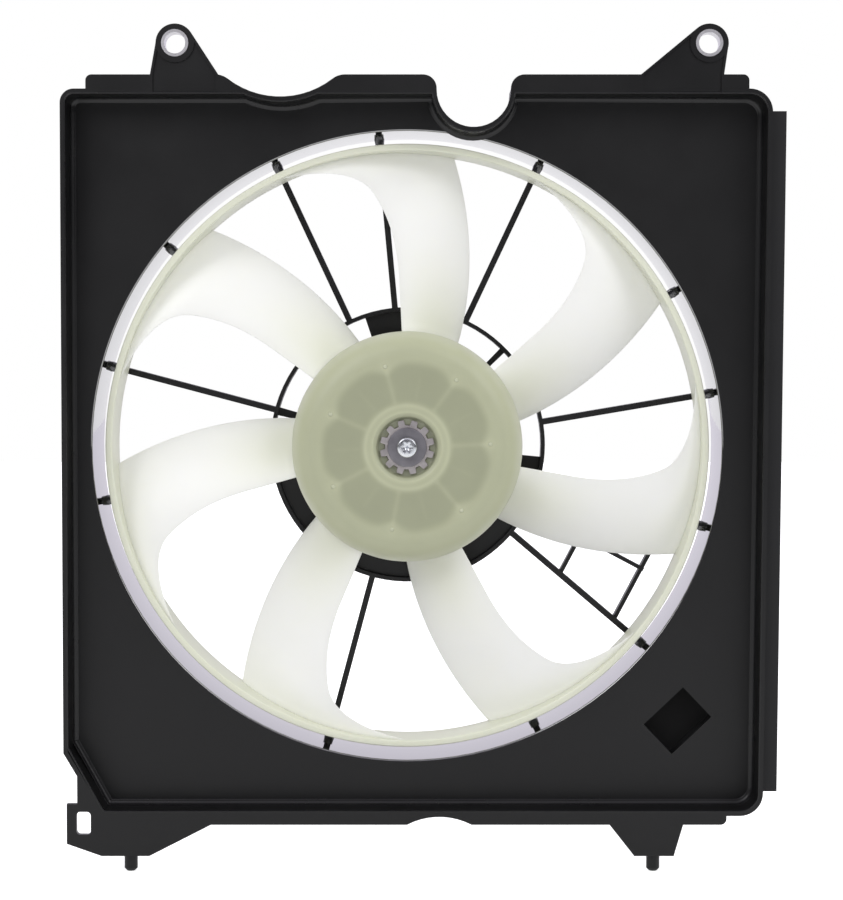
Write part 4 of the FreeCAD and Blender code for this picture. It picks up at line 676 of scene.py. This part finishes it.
def gate_stub(number, columns=24):
    """A low stub: its radius shrinks from foot to top while it rises, both in a quarter circle."""
    turn = 2 * np.pi / columns * np.arange(columns)[None, :]
    swell = np.linspace(0, np.pi / 2, 8)[:, None]
    radius = np.concatenate([[[STUB_FOOT]], STUB_TOP + (STUB_FOOT - STUB_TOP) * np.cos(swell)])
    depth = np.concatenate([[[HUB_FACE + 0.5]], HUB_FACE - STUB_HEIGHT * np.sin(swell)])
    place = np.radians(GATE_TURN + 360.0 / BLADES * number)
    across = GATE_RADIUS * np.cos(place) + radius * np.cos(turn)
    up = GATE_RADIUS * np.sin(place) + radius * np.sin(turn)
    return FAN_AXIS + np.stack([across, np.broadcast_to(depth, across.shape), up], -1) / 1000


stubs = [surface("gate_stub_%d" % (number + 1), gate_stub(number), 0.62, caps=True)
         for number in range(BLADES)]
print("made", len(stubs), "gate stubs")

# %% [markdown]
# A mould has no sharp inner corner, so a fillet follows the tray's walls. A path could be drawn
# by hand, but five corners and two circles, the notch and the dip, give it exactly. A section is
# carried along it and stands square to it.

# %% Tray outline
LEFT, TOP, RIGHT_TOP, RIGHT_LOW, LOW = -199.4, 206.8, 210.7, 206.7, -213.9
LEFT_CORNER, LOW_CORNER = -176.0, -178.5
NOTCH, DIP = (39.0, 208.8, 24.2), (-73.7, 254.8, 52.6)
ARC = 9


def bow(middle_x, middle_z, radius, steps=25):
    """The part of a circle that hangs below the tray's top wall, from right to left."""
    rise = math.asin((middle_z - TOP) / radius)
    turn = np.linspace(-rise, rise - math.pi, steps)
    return np.stack([middle_x + radius * np.cos(turn), middle_z + radius * np.sin(turn)], -1)


def tray_path():
    """The inside of the tray's wall, counterclockwise from the lower left, with rounded corners.

    A spare corner in the middle of the top wall gives way to the notch and the dip.
    """
    outline = rounded([
        (LEFT, LEFT_CORNER, 3.0), (LOW_CORNER, LOW, 3.0), (RIGHT_LOW, LOW, 10.9),
        (RIGHT_TOP, TOP, 10.9), (0.0, TOP, 0.0), (LEFT, TOP, 5.4)], steps=ARC)
    return distinct(np.concatenate([outline[:4 * ARC], bow(*NOTCH), bow(*DIP), outline[5 * ARC:]]))


def unit(vectors):
    """Each vector divided by its length."""
    return vectors / np.maximum(np.linalg.norm(vectors, axis=1, keepdims=True), 1e-9)


def along_tray(name, section):
    """Carries a closed (inwards, depth) section along the tray's inner outline.

    Inwards is the mean direction of the two neighbouring stretches, turned by a quarter.
    """
    path = tray_path()
    onward = unit(np.roll(path, -1, axis=0) - path)
    ahead = unit(onward + np.roll(onward, 1, axis=0))
    reach, depth = section[None, :, 0], section[None, :, 1]
    across = path[:, :1] - ahead[:, 1:] * reach
    up = path[:, 1:] + ahead[:, :1] * reach
    points = FAN_AXIS + np.stack([across, np.broadcast_to(depth, across.shape), up], -1) / 1000
    return surface(name, points, 0.0, finish=edge_black, body="mounted")


print("the tray's inner outline has", len(tray_path()), "points")

# %% [markdown]
# The fillet is hollow, with a radius of 3 mm, and lies at the foot of the walls. The front edge of
# the walls gets a round bead, so that a thin line of light follows it.

# %% Fillet and rim
TRAY_FLOOR, FILLET, BEHIND = 23.5, 3.0, 0.4
RIM_RADIUS, RIM_INWARDS, RIM_DEPTH = 0.6, -0.1, 0.5

quarter = np.linspace(0, np.pi / 2, 9)
hollow = np.stack([FILLET - FILLET * np.cos(quarter),
                   TRAY_FLOOR - FILLET + FILLET * np.sin(quarter)], -1)
back_of_fillet = np.array([(FILLET, TRAY_FLOOR + BEHIND), (-BEHIND, TRAY_FLOOR + BEHIND),
                           (-BEHIND, TRAY_FLOOR - FILLET)])
fillet = along_tray("tray_wall_fillet", np.concatenate([hollow, back_of_fillet]))
full = np.linspace(0, 2 * np.pi, 16, endpoint=False)
rim = along_tray("tray_rim_round", np.stack([RIM_INWARDS + RIM_RADIUS * np.cos(full),
                                             RIM_DEPTH + RIM_RADIUS * np.sin(full)], -1))
print("the tray's fillet and rim have", len(fillet.data.polygons) + len(rim.data.polygons), "faces")

# %% [markdown]
# Where a strut meets the barrel, the moulding swells to a foot, wider than the strut, which
# carries its load into the wall. The feet are short lofts whose width shrinks inwards, at the
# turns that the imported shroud's struts have.

# %% Strut feet
STRUT_TURNS = [9.6, 29.8, 64.8, 95.3, 115.1, 140.4, 165.2, 190.5, 255, 294.4, 319.6, 344.5]
FOOT_REACH, FOOT_HALF, FOOT_SWELL, FOOT_DEPTH, FOOT_HALF_DEPTH = 4.9, 2.7, 0.6, 70.0, 4.6


def blunt(value):
    """Pushes a sine or cosine outwards, to its power 0.35, which makes a circle a soft square."""
    return np.sign(value) * np.abs(value) ** 0.35


def strut_foot(turn, steps=10, around=20):
    """A loft along the radius: its half width swells with the square of the way to the wall."""
    t = np.linspace(0, 1, steps)[:, None]
    radius = BARREL_WALL * 1000 + 0.6 - FOOT_REACH * t
    half = FOOT_HALF + FOOT_SWELL * (1 - t) ** 2
    corner = 2 * np.pi * (np.arange(around) + 0.5)[None, :] / around
    angle = turn + np.degrees(half * blunt(np.cos(corner)) / radius)
    return about_axis(radius, angle, FOOT_DEPTH + FOOT_HALF_DEPTH * blunt(np.sin(corner)))


feet = [surface("strut_foot_%d" % (number + 1), strut_foot(turn), 0.0, finish=foot_black_painted_reflection,
                body="mounted", caps=True) for number, turn in enumerate(STRUT_TURNS)]
print("made", len(feet), "strut feet")

# %% [markdown]
# The scene is a pale studio: a white surround seen by the camera and by mirror-like skins, a
# floor under the two pins, and soft lamps. Behind the object the surround is white, in front of
# it darker, as in a photographer's light tent that is open towards the camera. For diffuse light
# the surround is even and a little weaker.

# %% Light tent
TENT_DIFFUSE, TENT_FRONT, TENT_ROOF = 0.80, 0.08, 0.9

world = bpy.data.worlds.new("light_tent")
bpy.context.scene.world = world
world.use_nodes = True
sky = world.node_tree
sky.nodes.clear()
ray = add(sky, "LightPath").outputs
axes = add(sky, "SeparateXYZ", {"Vector": add(sky, "TexCoord").outputs["Generated"]}).outputs
rear = add(sky, "MapRange", {"Value": axes["Y"], "From Min": -0.35, "From Max": 0.35,
                             "To Min": TENT_FRONT, "To Max": 1.0}).outputs["Result"]
roof = add(sky, "MapRange", {"Value": axes["Z"], "From Min": 0.10, "From Max": 0.80,
                             "To Min": 0.0, "To Max": TENT_ROOF}).outputs["Result"]
tent = add(sky, "Math", {0: rear, 1: roof}, operation="MAXIMUM").outputs["Value"]
glossy = add(sky, "Math", {0: ray["Is Glossy Ray"], 1: tent}, operation="MULTIPLY")
seen = add(sky, "Math", {0: ray["Is Camera Ray"], 1: ray["Is Transmission Ray"]},
           operation="MAXIMUM")
shown = add(sky, "Math", {0: seen.outputs["Value"], 1: glossy.outputs["Value"]},
            operation="MAXIMUM")
level = add(sky, "Math", {0: ray["Is Diffuse Ray"], 1: TENT_DIFFUSE, 2: shown.outputs["Value"]},
            operation="MULTIPLY_ADD")
hue = add(sky, "Mix", {"Factor": ray["Is Glossy Ray"], 6: linear("ffffff"), 7: linear("f4f0fc")},
          data_type="RGBA")
white = add(sky, "Background", {"Color": hue.outputs[2], "Strength": level.outputs["Value"]})
add(sky, "OutputWorld", {"Surface": white.outputs["Background"]})
print("the tent has", len(sky.nodes), "nodes")

# %% [markdown]
# Two square softboxes stand to the left and right above the camera, the left one stronger, so
# that the blades get a soft fall of light. Their power is low, because the tent gives the rest.

# %% Softboxes
LAMP_SIZE, LEFT_POWER, RIGHT_POWER = 0.9, 9.0, 6.5


def soft_lamp(name, place, aim, power):
    """A square area lamp at a place, turned to a point; its size in metres, its power in watts."""
    data = bpy.data.lights.new(name, "AREA")
    data.size = LAMP_SIZE
    data.energy = power
    lamp = bpy.data.objects.new(name, data)
    bpy.context.scene.collection.objects.link(lamp)
    away = np.array(place) - np.array(aim)
    lamp.location = place
    lamp.rotation_euler = (math.acos(away[2] / np.linalg.norm(away)), 0.0,
                           math.atan2(away[1], away[0]) + math.pi / 2)
    return lamp


soft_lamp("upper_left_softbox", (-1.1, -1.3, 0.9), tuple(FAN_AXIS), LEFT_POWER)
soft_lamp("upper_right_softbox", (1.2, -1.0, 0.7), tuple(FAN_AXIS), RIGHT_POWER)
print("lamps of", LEFT_POWER, "and", RIGHT_POWER, "watts")

# %% [markdown]
# The floor is a white table that reaches past the picture. It takes the object's shadow. A glow
# that the camera sees, and polished skins see more weakly, lifts it to the white of the tent.

# %% Floor
TABLE_REACH, TABLE_GLOW, TABLE_IN_GLOSS = 6.0, 0.72, 0.42

floor_level = cad_box[0][2]
floor_mesh = bpy.data.meshes.new("floor")
floor_mesh.from_pydata([(across * TABLE_REACH, along * TABLE_REACH, floor_level)
                        for across, along in ((-1, -1), (1, -1), (1, 1), (-1, 1))],
                       [], [(0, 1, 2, 3)])
floor = bpy.data.objects.new("floor", floor_mesh)
bpy.context.scene.collection.objects.link(floor)
table, table_tree, table_shader, _ = start("white_table")
table_ray = add(table_tree, "LightPath").outputs
in_gloss = add(table_tree, "Math", {0: table_ray["Is Glossy Ray"], 1: TABLE_IN_GLOSS},
               operation="MULTIPLY")
table_seen = add(table_tree, "Math", {0: table_ray["Is Camera Ray"], 1: in_gloss.outputs["Value"]},
                 operation="MAXIMUM")
glow = add(table_tree, "Math", {0: table_seen.outputs["Value"], 1: TABLE_GLOW},
           operation="MULTIPLY")
feed(table_tree, table_shader, {
    "Base Color": linear("efeff1"), "Roughness": 0.45, "Emission Color": linear("ffffff"),
    "Emission Strength": glow.outputs["Value"]})
floor_mesh.materials.append(table)
print("the floor lies at", round(floor_level, 4))

# %% [markdown]
# At the end the picture keeps plain colours: the view transform is Standard.

# %% Finish
bpy.context.scene.view_settings.view_transform = "Standard"
